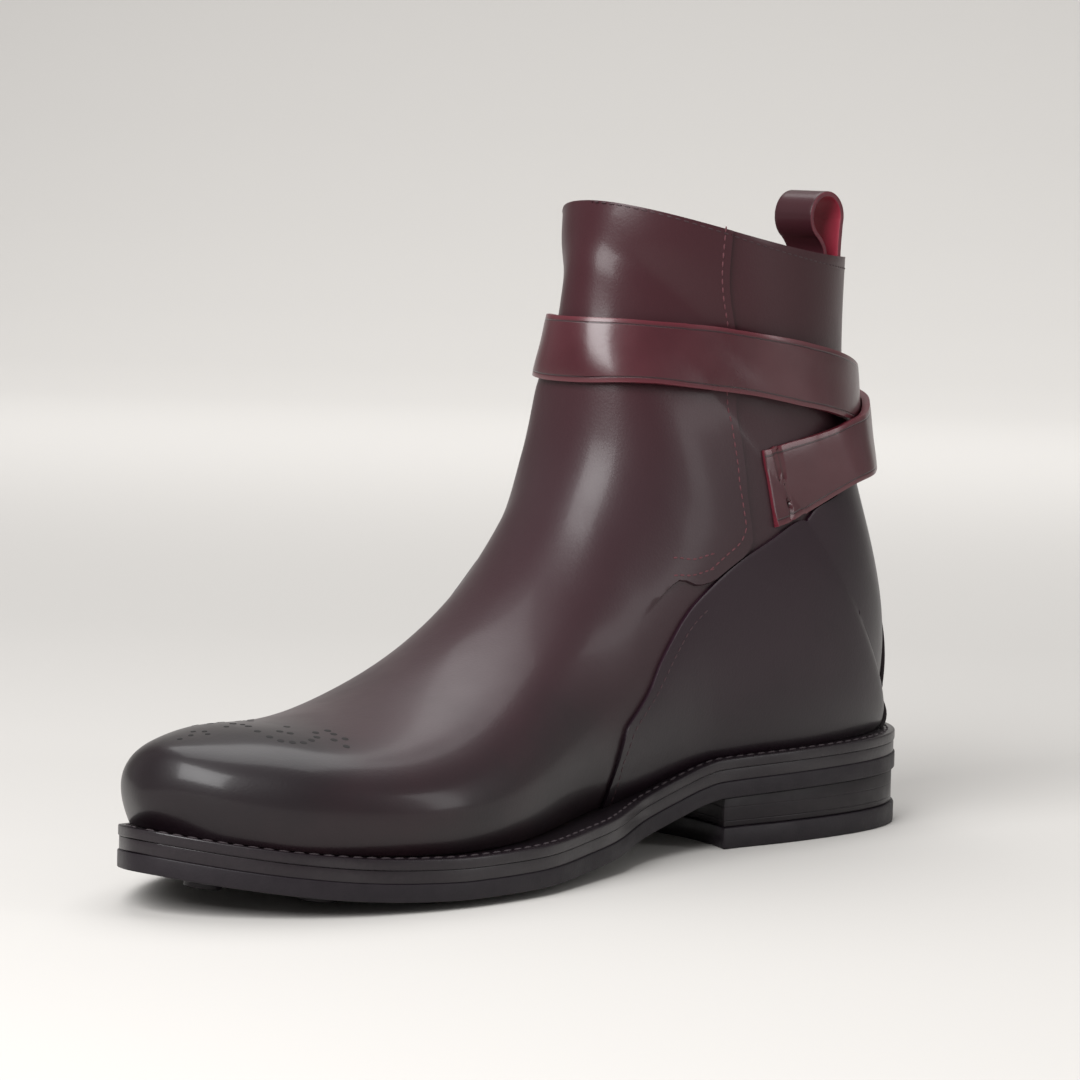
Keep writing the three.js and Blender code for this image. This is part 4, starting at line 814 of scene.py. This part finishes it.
calf_leather = leather("burnished_calf_painted_shade", (0.006, 0.0026, 0.0044), (0.033, 0.0145, 0.0185), (0.04, 0.0085, 0.0125), 0.85)
lining_leather = Finish("calf_lining", Roughness=0.55)
lining_leather.set(
    "Base Color", lining_leather.mix(lining_leather.noise(40, 4), (0.12, 0.03, 0.034), (0.2, 0.06, 0.058)),
)
lining_leather.bump(lining_leather.noise(1000, 3), 0.0001, 0.4)
raw_edge = Finish("burgundy_edge", Roughness=0.5)
raw_edge.set("Base Color", raw_edge.mix(raw_edge.noise(500, 3), (0.06, 0.006, 0.012), (0.16, 0.02, 0.035)))
raw_edge.bump(raw_edge.noise(1400, 2), 0.0001, 0.5)

upper_form = grid_of(200, 168, upper_place)
bmesh.ops.remove_doubles(upper_form, verts=upper_form.verts[:], dist=2e-6)
bmesh.ops.dissolve_degenerate(upper_form, edges=upper_form.edges[:], dist=1e-7)
upper_form.normal_update()
probe = max(upper_form.faces, key=lambda face: face.calc_center_median().x)
if probe.normal.x < 0:
    bmesh.ops.reverse_faces(upper_form, faces=upper_form.faces[:])
skin_tree = BVHTree.FromBMesh(upper_form)


def walled(piece, thickness, outwards, inside=1, rim=2, soft=0.3):
    """Gives a sheet its thickness, with other materials inside and round its rim."""
    wall = piece.modifiers.new("thickness", "SOLIDIFY")
    wall.thickness = thickness / 1000
    wall.offset = 1 if outwards else -1
    wall.use_even_offset = False
    wall.material_offset = inside
    wall.material_offset_rim = rim
    soften = piece.modifiers.new("soft_edges", "BEVEL")
    soften.width = soft / 1000
    soften.segments = 2
    soften.limit_method = "ANGLE"
    soften.angle_limit = math.radians(50)


upper = finished(
    upper_form, "upper_calf", [calf_leather, lining_leather.material, raw_edge.material],
)
walled(upper, WALL, False)
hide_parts("upper")


def skin_row(line, off):
    """Points and outward directions at (section, place round) pairs, off the skin."""
    row = []
    for s, u in line:
        lift = off(s, u) if callable(off) else off
        row.append((in_frame(off_skin(s, u, lift)), skin_out(s, u)))
    return row


def dense(points, count=240):
    """The same path with many more points, eased through each."""
    first = gentle_curve([(i, p[0]) for i, p in enumerate(points)])
    second = gentle_curve([(i, p[1]) for i, p in enumerate(points)])
    last = len(points) - 1
    return [(first(last * i / count), second(last * i / count)) for i in range(count + 1)]


calf_thread = Finish("calf_thread", Roughness=0.6)
calf_thread.set("Base Color", calf_thread.mix(calf_thread.noise(900), (0.06, 0.012, 0.018), (0.13, 0.035, 0.045)))
dark_thread = Finish("dark_thread", Roughness=0.55)
dark_thread.set("Base Color", dark_thread.mix(dark_thread.noise(900), (0.02, 0.007, 0.01), (0.05, 0.018, 0.024)))

front_seams = bmesh.new()
sewn = [(s / 10, SEWN_EDGE(s / 10) - 0.018) for s in range(115, 211)]
stitch_row(front_seams, skin_row(sewn, flap_rise), 0.0026, 0.0019, 0.0006)
tack = dense([(11.5, 0.48), (11.15, 0.463), (10.8, 0.43)], 60)
stitch_row(front_seams, skin_row(tack, flap_rise), 0.0024, 0.0017, 0.0006)
tack = dense([(11.62, 0.462), (11.28, 0.445), (10.95, 0.412)], 60)
stitch_row(front_seams, skin_row(tack, flap_rise), 0.0024, 0.0017, 0.0006)
finished(front_seams, "front_stitches", [calf_thread.material])
rim_seam = bmesh.new()
rim = [(TOP_SECTION - 0.16, i / 120) for i in range(-118, 119)]


def rim_lift(s, u):
    return flap_rise(s, u) if -FREE_EDGE(s) < u < SEWN_EDGE(s) else 0


stitch_row(rim_seam, skin_row(rim, rim_lift), 0.0026, 0.0019, 0.0005)
finished(rim_seam, "rim_stitches", [dark_thread.material])

# The quarters: darker calf round the heel, up to the straps, with a folded front edge on the big-toe
# side and a twice-sewn front seam on the other.
INNER_TOP = gentle_curve([
    (9.3, 0.8), (9.33, 0.72), (9.46, 0.607), (9.69, 0.583), (9.9, 0.563), (10.16, 0.531), (10.46, 0.515),
    (10.79, 0.506), (11.2, 0.503), (12.4, 0.497), (13.2, 0.495), (15.3, 0.527), (16.6, 0.607),
    (18.2, 0.78), (18.95, 0.985),
])
OUTER_TOP = gentle_curve([
    (8.54, 0.5), (8.76, 0.42), (9.14, 0.37), (9.5, 0.335), (9.86, 0.33), (10.28, 0.345), (10.82, 0.38),
    (11.25, 0.435), (11.9, 0.42), (14.38, 0.46), (17.8, 0.68), (18.95, 0.985),
])
QUARTER = 1.05


def quarter(name, side, first, top, finish):
    """One quarter: rows of sections from its front seam back, each from its top edge to the feather."""
    def place(a, b):
        s = first + (18.95 - first) * b
        u = top(s) + (1 - top(s)) * a
        return off_skin(s, side * u, 0.05)

    form = grid_of(90, 190, place)
    bmesh.ops.remove_doubles(form, verts=form.verts[:], dist=1e-6)
    form.normal_update()
    middle = min(form.faces, key=lambda face: abs(face.calc_center_median().x + 0.05))
    if middle.normal.y * side < 0:
        bmesh.ops.reverse_faces(form, faces=form.faces[:])
    piece = finished(form, name, [finish, finish, raw_edge.material])
    walled(piece, QUARTER, True, inside=1, rim=1, soft=0.45)
    return piece


quarter_leather = leather("quarter_calf", (0.004, 0.0015, 0.0034), (0.016, 0.005, 0.0105), (0.01, 0.0025, 0.005), 0.4)
inner_quarter = quarter("inner_quarter", 1, 9.3, INNER_TOP, quarter_leather)
outer_quarter = quarter("outer_quarter", -1, 8.54, OUTER_TOP, quarter_leather)
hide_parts("quarters")
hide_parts("quarters")
quarter_seams = bmesh.new()
for gap in (0.05, 0.09):
    seam = [(9.33 + gap * 2.0, 0.98 - 0.02 * i) for i in range(14)]
    seam += [(9.4 + gap * 1.9, 0.68), (9.5 + gap * 1.8, 0.632), (9.74 + gap, 0.606), (9.95 + gap, 0.588), (10.22, 0.556 + gap * 0.2)]
    seam += [(10.5, 0.535 + gap * 0.2), (10.85, 0.522 + gap * 0.2), (11.2, 0.519 + gap * 0.2)]
    if gap < 0.06:
        stitch_row(quarter_seams, skin_row(dense(seam), QUARTER + 0.05), 0.0026, 0.0019, 0.0005)
    outer = [(8.54 + gap * 1.6, -0.98 + 0.04 * i) for i in range(14)]
    outer += [(8.78 + gap, -0.435 - gap * 0.5), (9.16 + gap, -0.39 - gap * 0.4), (9.5 + gap, -0.36 - gap * 0.3)]
    stitch_row(quarter_seams, skin_row(dense(outer), QUARTER + 0.05), 0.0026, 0.0019, 0.0005)
finished(quarter_seams, "quarter_stitches", [dark_thread.material])

# The backstay: a strip of calf up the back seam, flared at the foot, that turns over the top edge as
# the pull loop. It is sewn along both sides.
BACKSTAY = 1.3
STAY_FOOT = seat(8) + 0.6
STAY_HALF = gentle_curve([(28, 19), (48, 16), (70, 11.5), (97, 8.9), (128, 8.4), (178, 7.5)])


def on_back(y, z, offset):
    """A point on the back of the quarters at that y and height, found along +X."""
    origin = in_frame(Vector((-40, y, z)))
    hit, normal, _, _ = skin_tree.ray_cast(origin, Vector((1, 0, 0)), 0.09)
    if hit is None:
        hit, normal, _, _ = skin_tree.find_nearest(in_frame(Vector((8, y, z))))
    return hit + normal * offset / 1000, normal


def stay_place(a, b):
    z = STAY_FOOT + (BACK_HEIGHT - 0.6 - STAY_FOOT) * b
    y = (2 * a - 1) * STAY_HALF(z)
    over = QUARTER * (1 - smooth(z, 118, 130)) + 0.1
    point, _ = on_back(y, z, over)
    return point * 1000 + CENTRE


stay_form = grid_of(28, 150, stay_place)
stay_form.normal_update()
if sum(face.normal.x for face in stay_form.faces) > 0:
    bmesh.ops.reverse_faces(stay_form, faces=stay_form.faces[:])
backstay = finished(stay_form, "backstay_strip", [calf_leather, calf_leather, raw_edge.material])
walled(backstay, BACKSTAY, True, inside=1, rim=1, soft=0.4)
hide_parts("backstay")
stay_seam = bmesh.new()
for side in (-1, 1):
    line = []
    for i in range(200):
        z = 30 + 144 * i / 199
        over = QUARTER * (1 - smooth(z, 118, 130)) + 0.1 + BACKSTAY
        line.append(on_back(side * (STAY_HALF(z) - 1.7), z, over))
    stitch_row(stay_seam, line, 0.0026, 0.0019, 0.0005)
finished(stay_seam, "backstay_stitches", [dark_thread.material])

LOOP_WIDTH, LOOP_BORE, LOOP_RISE = 15, 13, 20
back_rim = skin(TOP_SECTION, 1)
loop_radius = LOOP_BORE / 2 + BACKSTAY / 2
loop_outside = back_rim.x - 0.3 - BACKSTAY / 2
loop_inside = back_rim.x + WALL + 2.8 + BACKSTAY / 2
loop_x = loop_outside + loop_radius - 1
loop_z = back_rim.z + LOOP_RISE - loop_radius - BACKSTAY / 2
loop_line = [(loop_outside, back_rim.z - 7), (loop_outside, back_rim.z - 3), (loop_outside, back_rim.z + 1)]
for i in range(25):
    turn = math.pi * (1.08 - 1.4 * i / 24)
    loop_line.append((loop_x + loop_radius * math.cos(turn), loop_z + loop_radius * math.sin(turn)))
loop_line += [(loop_inside, back_rim.z + 1), (loop_inside, back_rim.z - 5), (loop_inside, back_rim.z - 12)]
loop_path_x = gentle_curve([(i, p[0]) for i, p in enumerate(loop_line)])
loop_path_z = gentle_curve([(i, p[1]) for i, p in enumerate(loop_line)])


def loop_place(a, b):
    at = b * (len(loop_line) - 1)
    return Vector((loop_path_x(at), (2 * a - 1) * LOOP_WIDTH / 2, loop_path_z(at)))


loop_form = grid_of(10, 120, loop_place)
loop_form.normal_update()
crown = max(loop_form.faces, key=lambda face: face.calc_center_median().z)
if crown.normal.z < 0:
    bmesh.ops.reverse_faces(loop_form, faces=loop_form.faces[:])
crimson = Finish("crimson_lining", Roughness=0.5)
crimson.set("Base Color", crimson.mix(crimson.noise(60, 4), (0.2, 0.014, 0.03), (0.34, 0.03, 0.055)))
crimson.bump(crimson.noise(1100, 3), 0.0001, 0.4)
pull_loop = finished(loop_form, "pull_loop", [calf_leather, crimson.material, raw_edge.material])
loop_wall = pull_loop.modifiers.new("thickness", "SOLIDIFY")
loop_wall.thickness = BACKSTAY * 1.25 / 1000
loop_wall.offset = 0
loop_wall.material_offset = 1
loop_wall.material_offset_rim = 2
loop_soften = pull_loop.modifiers.new("soft_edges", "BEVEL")
loop_soften.width = 0.0003
loop_soften.segments = 2
loop_soften.limit_method = "ANGLE"
loop_soften.angle_limit = math.radians(50)

# The straps: burgundy calf 18.5 mm wide with a creased line along each edge, painted dark as shade in its groove
# with a painted highlight beside it towards the edge, and raw crimson edges.
# The long one starts at the flap's corner; the other comes from the big-toe side and holds the buckle.
STRAP_WIDTH, STRAP, CLEARANCE = 18.5, 2.4, 0.8
OVER_QUARTER = GAP + 1.2 + CLEARANCE
OVER_FLAP = FLAP_RISE + CLEARANCE
OVER_BACKSTAY = GAP + 1.2 + GAP + BACKSTAY + CLEARANCE
OVER_STRAP = STRAP + CLEARANCE
LONG_STRAP = [
    (-0.447, 0.487, 1.12, OVER_QUARTER),
    (-0.475, 0.494, 1.04, OVER_QUARTER),
    (-0.505, 0.506, 1, OVER_QUARTER),
    (-0.6, 0.532, 1, OVER_QUARTER),
    (-0.7, 0.558, 1, OVER_QUARTER),
    (-0.8, 0.586, 1, OVER_QUARTER + 0.4),
    (-0.9, 0.614, 1, OVER_BACKSTAY),
    (-1, 0.64, 1, OVER_BACKSTAY),
    (-1.1, 0.666, 1, OVER_BACKSTAY),
    (-1.2, 0.69, 1, OVER_QUARTER + 0.4),
    (-1.3, 0.711, 1, OVER_QUARTER),
    (-1.4, 0.73, 1, OVER_QUARTER),
    (-1.5, 0.746, 1, OVER_QUARTER),
    (-1.6, 0.757, 1, OVER_FLAP),
    (-1.7, 0.765, 1, OVER_FLAP),
    (-1.8, 0.77, 1, OVER_FLAP - 0.3),
    (-1.9, 0.773, 1, OVER_FLAP - 0.8),
    (-2, 0.774, 1, OVER_FLAP - 1.2),
    (-2.1, 0.773, 1, OVER_FLAP - 1.2),
    (-2.2, 0.771, 1, OVER_FLAP - 0.8),
    (-2.3, 0.767, 1, OVER_FLAP + 1.3),
    (-2.4, 0.761, 1, OVER_QUARTER + OVER_STRAP),
    (-2.5, 0.752, 1, OVER_QUARTER + OVER_STRAP),
    (-2.6, 0.74, 1, OVER_QUARTER + OVER_STRAP + 0.8),
    (-2.69, 0.724, 0.95, OVER_QUARTER + OVER_STRAP + 1.8),
]
BUCKLE_STRAP = [
    (0.45, 0.56, 1.28, -1.7),
    (0.49, 0.573, 1.22, -1.4),
    (0.53, 0.585, 1.13, -0.75),
    (0.58, 0.597, 1.05, 0.8),
    (0.64, 0.608, 1, OVER_QUARTER + 1.4),
    (0.71, 0.615, 1, OVER_QUARTER + 0.4 + OVER_STRAP),
    (0.8, 0.628, 1, OVER_QUARTER + 0.5 + OVER_STRAP),
    (0.9, 0.64, 1, OVER_BACKSTAY + OVER_STRAP),
    (1, 0.652, 1, OVER_BACKSTAY + OVER_STRAP),
    (1.1, 0.665, 1, OVER_BACKSTAY + OVER_STRAP),
    (1.2, 0.68, 1, OVER_QUARTER + 0.5 + OVER_STRAP),
    (1.29, 0.697, 1, OVER_QUARTER + 1.2),
    (1.37, 0.715, 1, OVER_QUARTER),
    (1.45, 0.729, 1, OVER_QUARTER),
    (1.545, 0.75, 1, OVER_QUARTER),
]


@lru_cache(maxsize=None)
def section_at(u, z):
    """The section whose skin has height z at place u."""
    low, high = 8, TOP_SECTION
    for _ in range(30):
        middle = (low + high) / 2
        if skin(middle, u).z < z:
            low = middle
        else:
            high = middle
    return (low + high) / 2


def strap_line(rows):
    """A function of t from 0 to 1 that gives a strap's middle, its outward direction and its width."""
    columns = [gentle_curve([(i, row[c]) for i, row in enumerate(rows)]) for c in range(4)]

    def at(t, lift=0.0, aside=Vector((0, 0, 0))):
        u, z, width, off = [column(t * (len(rows) - 1)) for column in columns]
        around = wrapped(u)
        middle = off_skin(section_at(around, z * SHAFT_HEIGHT), around, off + lift)
        s = section_at(around, z * SHAFT_HEIGHT + aside.z)
        out = skin_out(s, around)
        point = middle + aside
        point = point + out * (off_skin(s, around, off + lift) - point).dot(out)
        return point, out, width * STRAP_WIDTH

    return at


def strap_frame(line, t):
    point, out, width = line(t)
    run = (line(min(t + 0.004, 1))[0] - line(max(t - 0.004, 0))[0]).normalized()
    up = out.cross(run).normalized()
    return point, out, run, up if up.z > 0 else -up, width


strap_leather = Finish("strap_calf", Coat_Roughness=0.18)
strap_map = strap_leather.nodes.new("ShaderNodeSeparateXYZ")
strap_leather.put(strap_map.inputs[0], strap_leather.add("TexCoord", {}, {}, "UV"))
across_strap = Wire(strap_leather, strap_map.outputs[0])
from_middle = strap_leather.add("Math", {"operation": "ABSOLUTE"}, {0: across_strap - 0.5}) * 2
crease_groove_and_shade = strap_leather.ramp(strap_leather.add("Math", {"operation": "ABSOLUTE"}, {0: from_middle - 0.84}), 0.0, 0.035)
strap_cloud = strap_leather.noise(30, 4, 0.55)
strap_body = strap_leather.mix(strap_cloud, (0.03, 0.0035, 0.007), (0.072, 0.008, 0.015))
# Painted highlight: the top face turns lighter towards each edge, beside the creased line.
strap_body = strap_leather.mix(strap_leather.ramp(from_middle, 0.82, 1.0), strap_body, (0.09, 0.009, 0.017))
# Painted shade: the creased line's groove is painted near-black, on top of its bump.
strap_leather.set("Base Color", strap_leather.mix(crease_groove_and_shade, (0.02, 0.003, 0.006), strap_body))
strap_leather.set("Roughness", strap_leather.ramp(strap_cloud, 0.3, 0.7, 0.27, 0.38))
strap_leather.set("Coat Weight", strap_leather.ramp(strap_cloud, 0.3, 0.7, 0.2, 0.45))
strap_leather.bump(crease_groove_and_shade + strap_leather.noise(500, 5, 0.6) * 0.16, 0.0003, 0.8)
strap_edge = Finish("strap_edge", Roughness=0.45)
strap_edge.set("Base Color", strap_edge.mix(strap_edge.noise(350, 4), (0.07, 0.006, 0.012), (0.15, 0.015, 0.028)))
strap_edge.bump(strap_edge.noise(1300, 2), 0.0001, 0.5)


def strap(name, rows, node, tip):
    line = strap_line(rows)
    samples = [line(i / 120)[0] for i in range(121)]
    length = sum((b - a).length for a, b in zip(samples, samples[1:]))
    rounding = 0.62 * STRAP_WIDTH / length

    @lru_cache(maxsize=None)
    def framed(t):
        return strap_frame(line, t)

    def place(a, b):
        if tip and b > 0.9:
            share = (b - 0.9) / 0.1
            t = 1 - rounding + rounding * math.sin(share * math.pi / 2)
            left = (1 - t) / rounding
            narrow = math.sqrt(max(1 - (1 - left) ** 2, 0.0004))
        else:
            t = b * ((1 - rounding) / 0.9 if tip else 1)
            narrow = 1
        _, _, _, up, width = framed(t)
        side = (2 * a - 1) * width / 2 * narrow
        soft = 0.35 * (1 - abs(2 * a - 1) ** 4)
        return line(t, soft, up * side)[0]

    form = grid_of(16, 260, place, uv=True)
    form.normal_update()
    probe_face = min(form.faces, key=lambda face: face.calc_center_median().y)
    if probe_face.normal.y > 0:
        bmesh.ops.reverse_faces(form, faces=form.faces[:])
    piece = finished(form, name, [strap_leather.material, strap_edge.material])
    walled(piece, STRAP, True, inside=1, rim=1, soft=0.45)
    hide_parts(node)
    return line


long_line = strap("long_strap_calf", LONG_STRAP, "long_strap", True)
buckle_line = strap("buckle_strap_calf", BUCKLE_STRAP, "buckle_strap", False)

# The buckle: a cast brass frame with cut corners and bevelled bars, on a bar at the end of its strap,
# and a prong that rests on the frame's front bar.
BUCKLE_LENGTH, BUCKLE_HEIGHT, BUCKLE_BAR, BUCKLE_DEPTH, BUCKLE_CHAMFER = 27, 31, 3.6, 2.2, 6.5
FRAME_LEVEL = 2 * STRAP + 2 * CLEARANCE
brass = Finish("polished_brass", Metallic=1.0)
brass.set("Base Color", brass.mix(brass.noise(80, 3), (0.83, 0.62, 0.27), (0.93, 0.74, 0.4)))
brass.set("Roughness", brass.ramp(brass.noise(220, 4), 0.3, 0.7, 0.12, 0.24))
brass.bump(brass.noise(700, 2), 0.00005, 0.25)

point, out, run, up, _ = strap_frame(buckle_line, 1)
sideways = out.cross(run)
origin = in_frame(point + run * GAP)
buckle_stand = Matrix((
    (run.x, sideways.x, out.x, origin.x),
    (run.y, sideways.y, out.y, origin.y),
    (run.z, sideways.z, out.z, origin.z),
    (0, 0, 0, 1),
))
buckle_form = bmesh.new()
half_x, half_y = BUCKLE_LENGTH / 2, BUCKLE_HEIGHT / 2
corners = [
    (half_x, half_y - BUCKLE_CHAMFER), (half_x - BUCKLE_CHAMFER, half_y), (BUCKLE_CHAMFER - half_x, half_y),
    (-half_x, half_y - BUCKLE_CHAMFER), (-half_x, BUCKLE_CHAMFER - half_y), (BUCKLE_CHAMFER - half_x, -half_y),
    (half_x - BUCKLE_CHAMFER, -half_y), (half_x, BUCKLE_CHAMFER - half_y),
]
bmesh.ops.create_circle(buckle_form, cap_ends=True, segments=8, radius=1)
buckle_form.verts.ensure_lookup_table()
for vert, (corner_x, corner_y) in zip(buckle_form.verts, corners):
    vert.co = Vector((corner_x + BUCKLE_DEPTH / 2, corner_y, FRAME_LEVEL)) / 1000
inset = bmesh.ops.inset_region(
    buckle_form, faces=buckle_form.faces[:], thickness=BUCKLE_BAR / 1000, use_even_offset=True,
)
bmesh.ops.delete(buckle_form, geom=[f for f in buckle_form.faces if len(f.verts) == 8], context="FACES")
grown = bmesh.ops.extrude_face_region(buckle_form, geom=buckle_form.faces[:])
bmesh.ops.translate(
    buckle_form, vec=(0, 0, BUCKLE_DEPTH / 1000),
    verts=[v for v in grown["geom"] if isinstance(v, bmesh.types.BMVert)],
)
bmesh.ops.recalc_face_normals(buckle_form, faces=buckle_form.faces[:])
bmesh.ops.bevel(
    buckle_form, geom=[e for e in buckle_form.edges if e.is_manifold and e.calc_face_angle() > 1.2],
    offset=0.00085, offset_type="OFFSET", segments=3, profile=0.5, affect="EDGES", material=-1,
)
middle_bar = bmesh.ops.create_cone(
    buckle_form, cap_ends=True, segments=20, radius1=0.0011, radius2=0.0011,
    depth=(BUCKLE_HEIGHT - BUCKLE_BAR) / 1000,
    matrix=Matrix.Translation((BUCKLE_DEPTH / 2000, 0, 0.0011)) @ Matrix.Rotation(math.pi / 2, 4, "X"),
)
for end in (-1, 1):
    post_height = (FRAME_LEVEL + BUCKLE_DEPTH / 2) / 1000
    post = Matrix.Translation((BUCKLE_DEPTH / 2000, end * (BUCKLE_HEIGHT - BUCKLE_BAR * 1.6) / 2000, post_height / 2))
    bmesh.ops.create_cone(
        buckle_form, cap_ends=True, segments=16, radius1=0.0011, radius2=0.0011, depth=post_height, matrix=post,
    )
bmesh.ops.transform(buckle_form, matrix=buckle_stand, verts=buckle_form.verts[:])
buckle = finished(buckle_form, "buckle_brass", [brass.material])
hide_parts("buckle_frame")

prong_form = bmesh.new()
prong_path = [
    (-0.6, FRAME_LEVEL - 0.7), (0.6, FRAME_LEVEL + 0.7), (3.5, FRAME_LEVEL + 0.9), (8, FRAME_LEVEL + 1.2),
    (11, FRAME_LEVEL + 2.1), (14, FRAME_LEVEL + 2.7),
]
bmesh.ops.create_circle(prong_form, cap_ends=True, segments=16, radius=0.0011)
bmesh.ops.rotate(prong_form, cent=(0, 0, 0), matrix=Matrix.Rotation(math.pi / 2, 3, "Y"), verts=prong_form.verts[:])
ring = list(prong_form.faces)
first_x, first_z = prong_path[0]
bmesh.ops.translate(prong_form, vec=((first_x + 1.1) / 1000, 0, first_z / 1000), verts=prong_form.verts[:])
for (from_x, from_z), (to_x, to_z) in zip(prong_path, prong_path[1:]):
    grown = bmesh.ops.extrude_face_region(prong_form, geom=ring)
    moved = [v for v in grown["geom"] if isinstance(v, bmesh.types.BMVert)]
    bmesh.ops.translate(prong_form, vec=((to_x - from_x) / 1000, 0, (to_z - from_z) / 1000), verts=moved)
    bmesh.ops.delete(prong_form, geom=[f for f in ring if f.is_valid], context="FACES_ONLY")
    ring = [f for f in grown["geom"] if isinstance(f, bmesh.types.BMFace)]
bmesh.ops.holes_fill(prong_form, edges=prong_form.edges[:], sides=16)
bmesh.ops.recalc_face_normals(prong_form, faces=prong_form.faces[:])
bmesh.ops.transform(prong_form, matrix=buckle_stand, verts=prong_form.verts[:])
prong = finished(prong_form, "buckle_prong_brass", [brass.material], bevel=0.4, angle=50)
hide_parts("buckle_prong")

# The medallion: dark discs of painted shade stand for holes punched through the toe cap's leather, in a curl
# on each side of the ridge, with a line of smaller ones along it.
CURL = [
    (267.7, 4.4), (270.3, 11), (270.9, 16.6), (270, 20.2), (267.5, 22.2), (264.4, 23.3), (260.6, 22.4),
    (257.1, 20.8), (254.3, 17.3), (249.6, 17.1), (250.2, 20.2), (253.6, 24), (249.8, 24.4), (253.2, 28.6),
    (257.3, 8.8), (264.1, 13.3), (262.5, 15.8),
]
RIDGE_ROW = [(267, 1.2), (273, 1.2), (281, 1.2), (282.5, 4.2), (282.5, -1.8), (286, 1.2), (290, 1.2)]
# Painted shade: each hole is a near-black disc laid on the skin, not cut through it.
punched = Finish("painted_hole_shade", Roughness=0.8)
punched.set("Base Color", punched.mix(punched.noise(900), (0.0008, 0.0004, 0.0006), (0.002, 0.001, 0.0015)))
medallion = bmesh.new()
dots = [(x, y, 2.1) for x, y in CURL] + [(x, 2.4 - y, 2.1) for x, y in CURL] + [(x, y, 1.6) for x, y in RIDGE_ROW]
for dot_x, dot_y, width in dots:
    start = in_frame(Vector((dot_x, dot_y, 90)))
    hit, normal, _, _ = skin_tree.ray_cast(start, Vector((0, 0, -1)))
    turn = normal.to_track_quat("Z", "Y").to_matrix().to_4x4()
    spot = Matrix.Translation(hit + normal * 0.00003) @ turn
    bmesh.ops.create_cone(
        medallion, cap_ends=True, segments=20, radius1=width / 2000, radius2=width / 2200, depth=0.00012, matrix=spot,
    )
finished(medallion, "medallion_painted_holes", [punched.material])
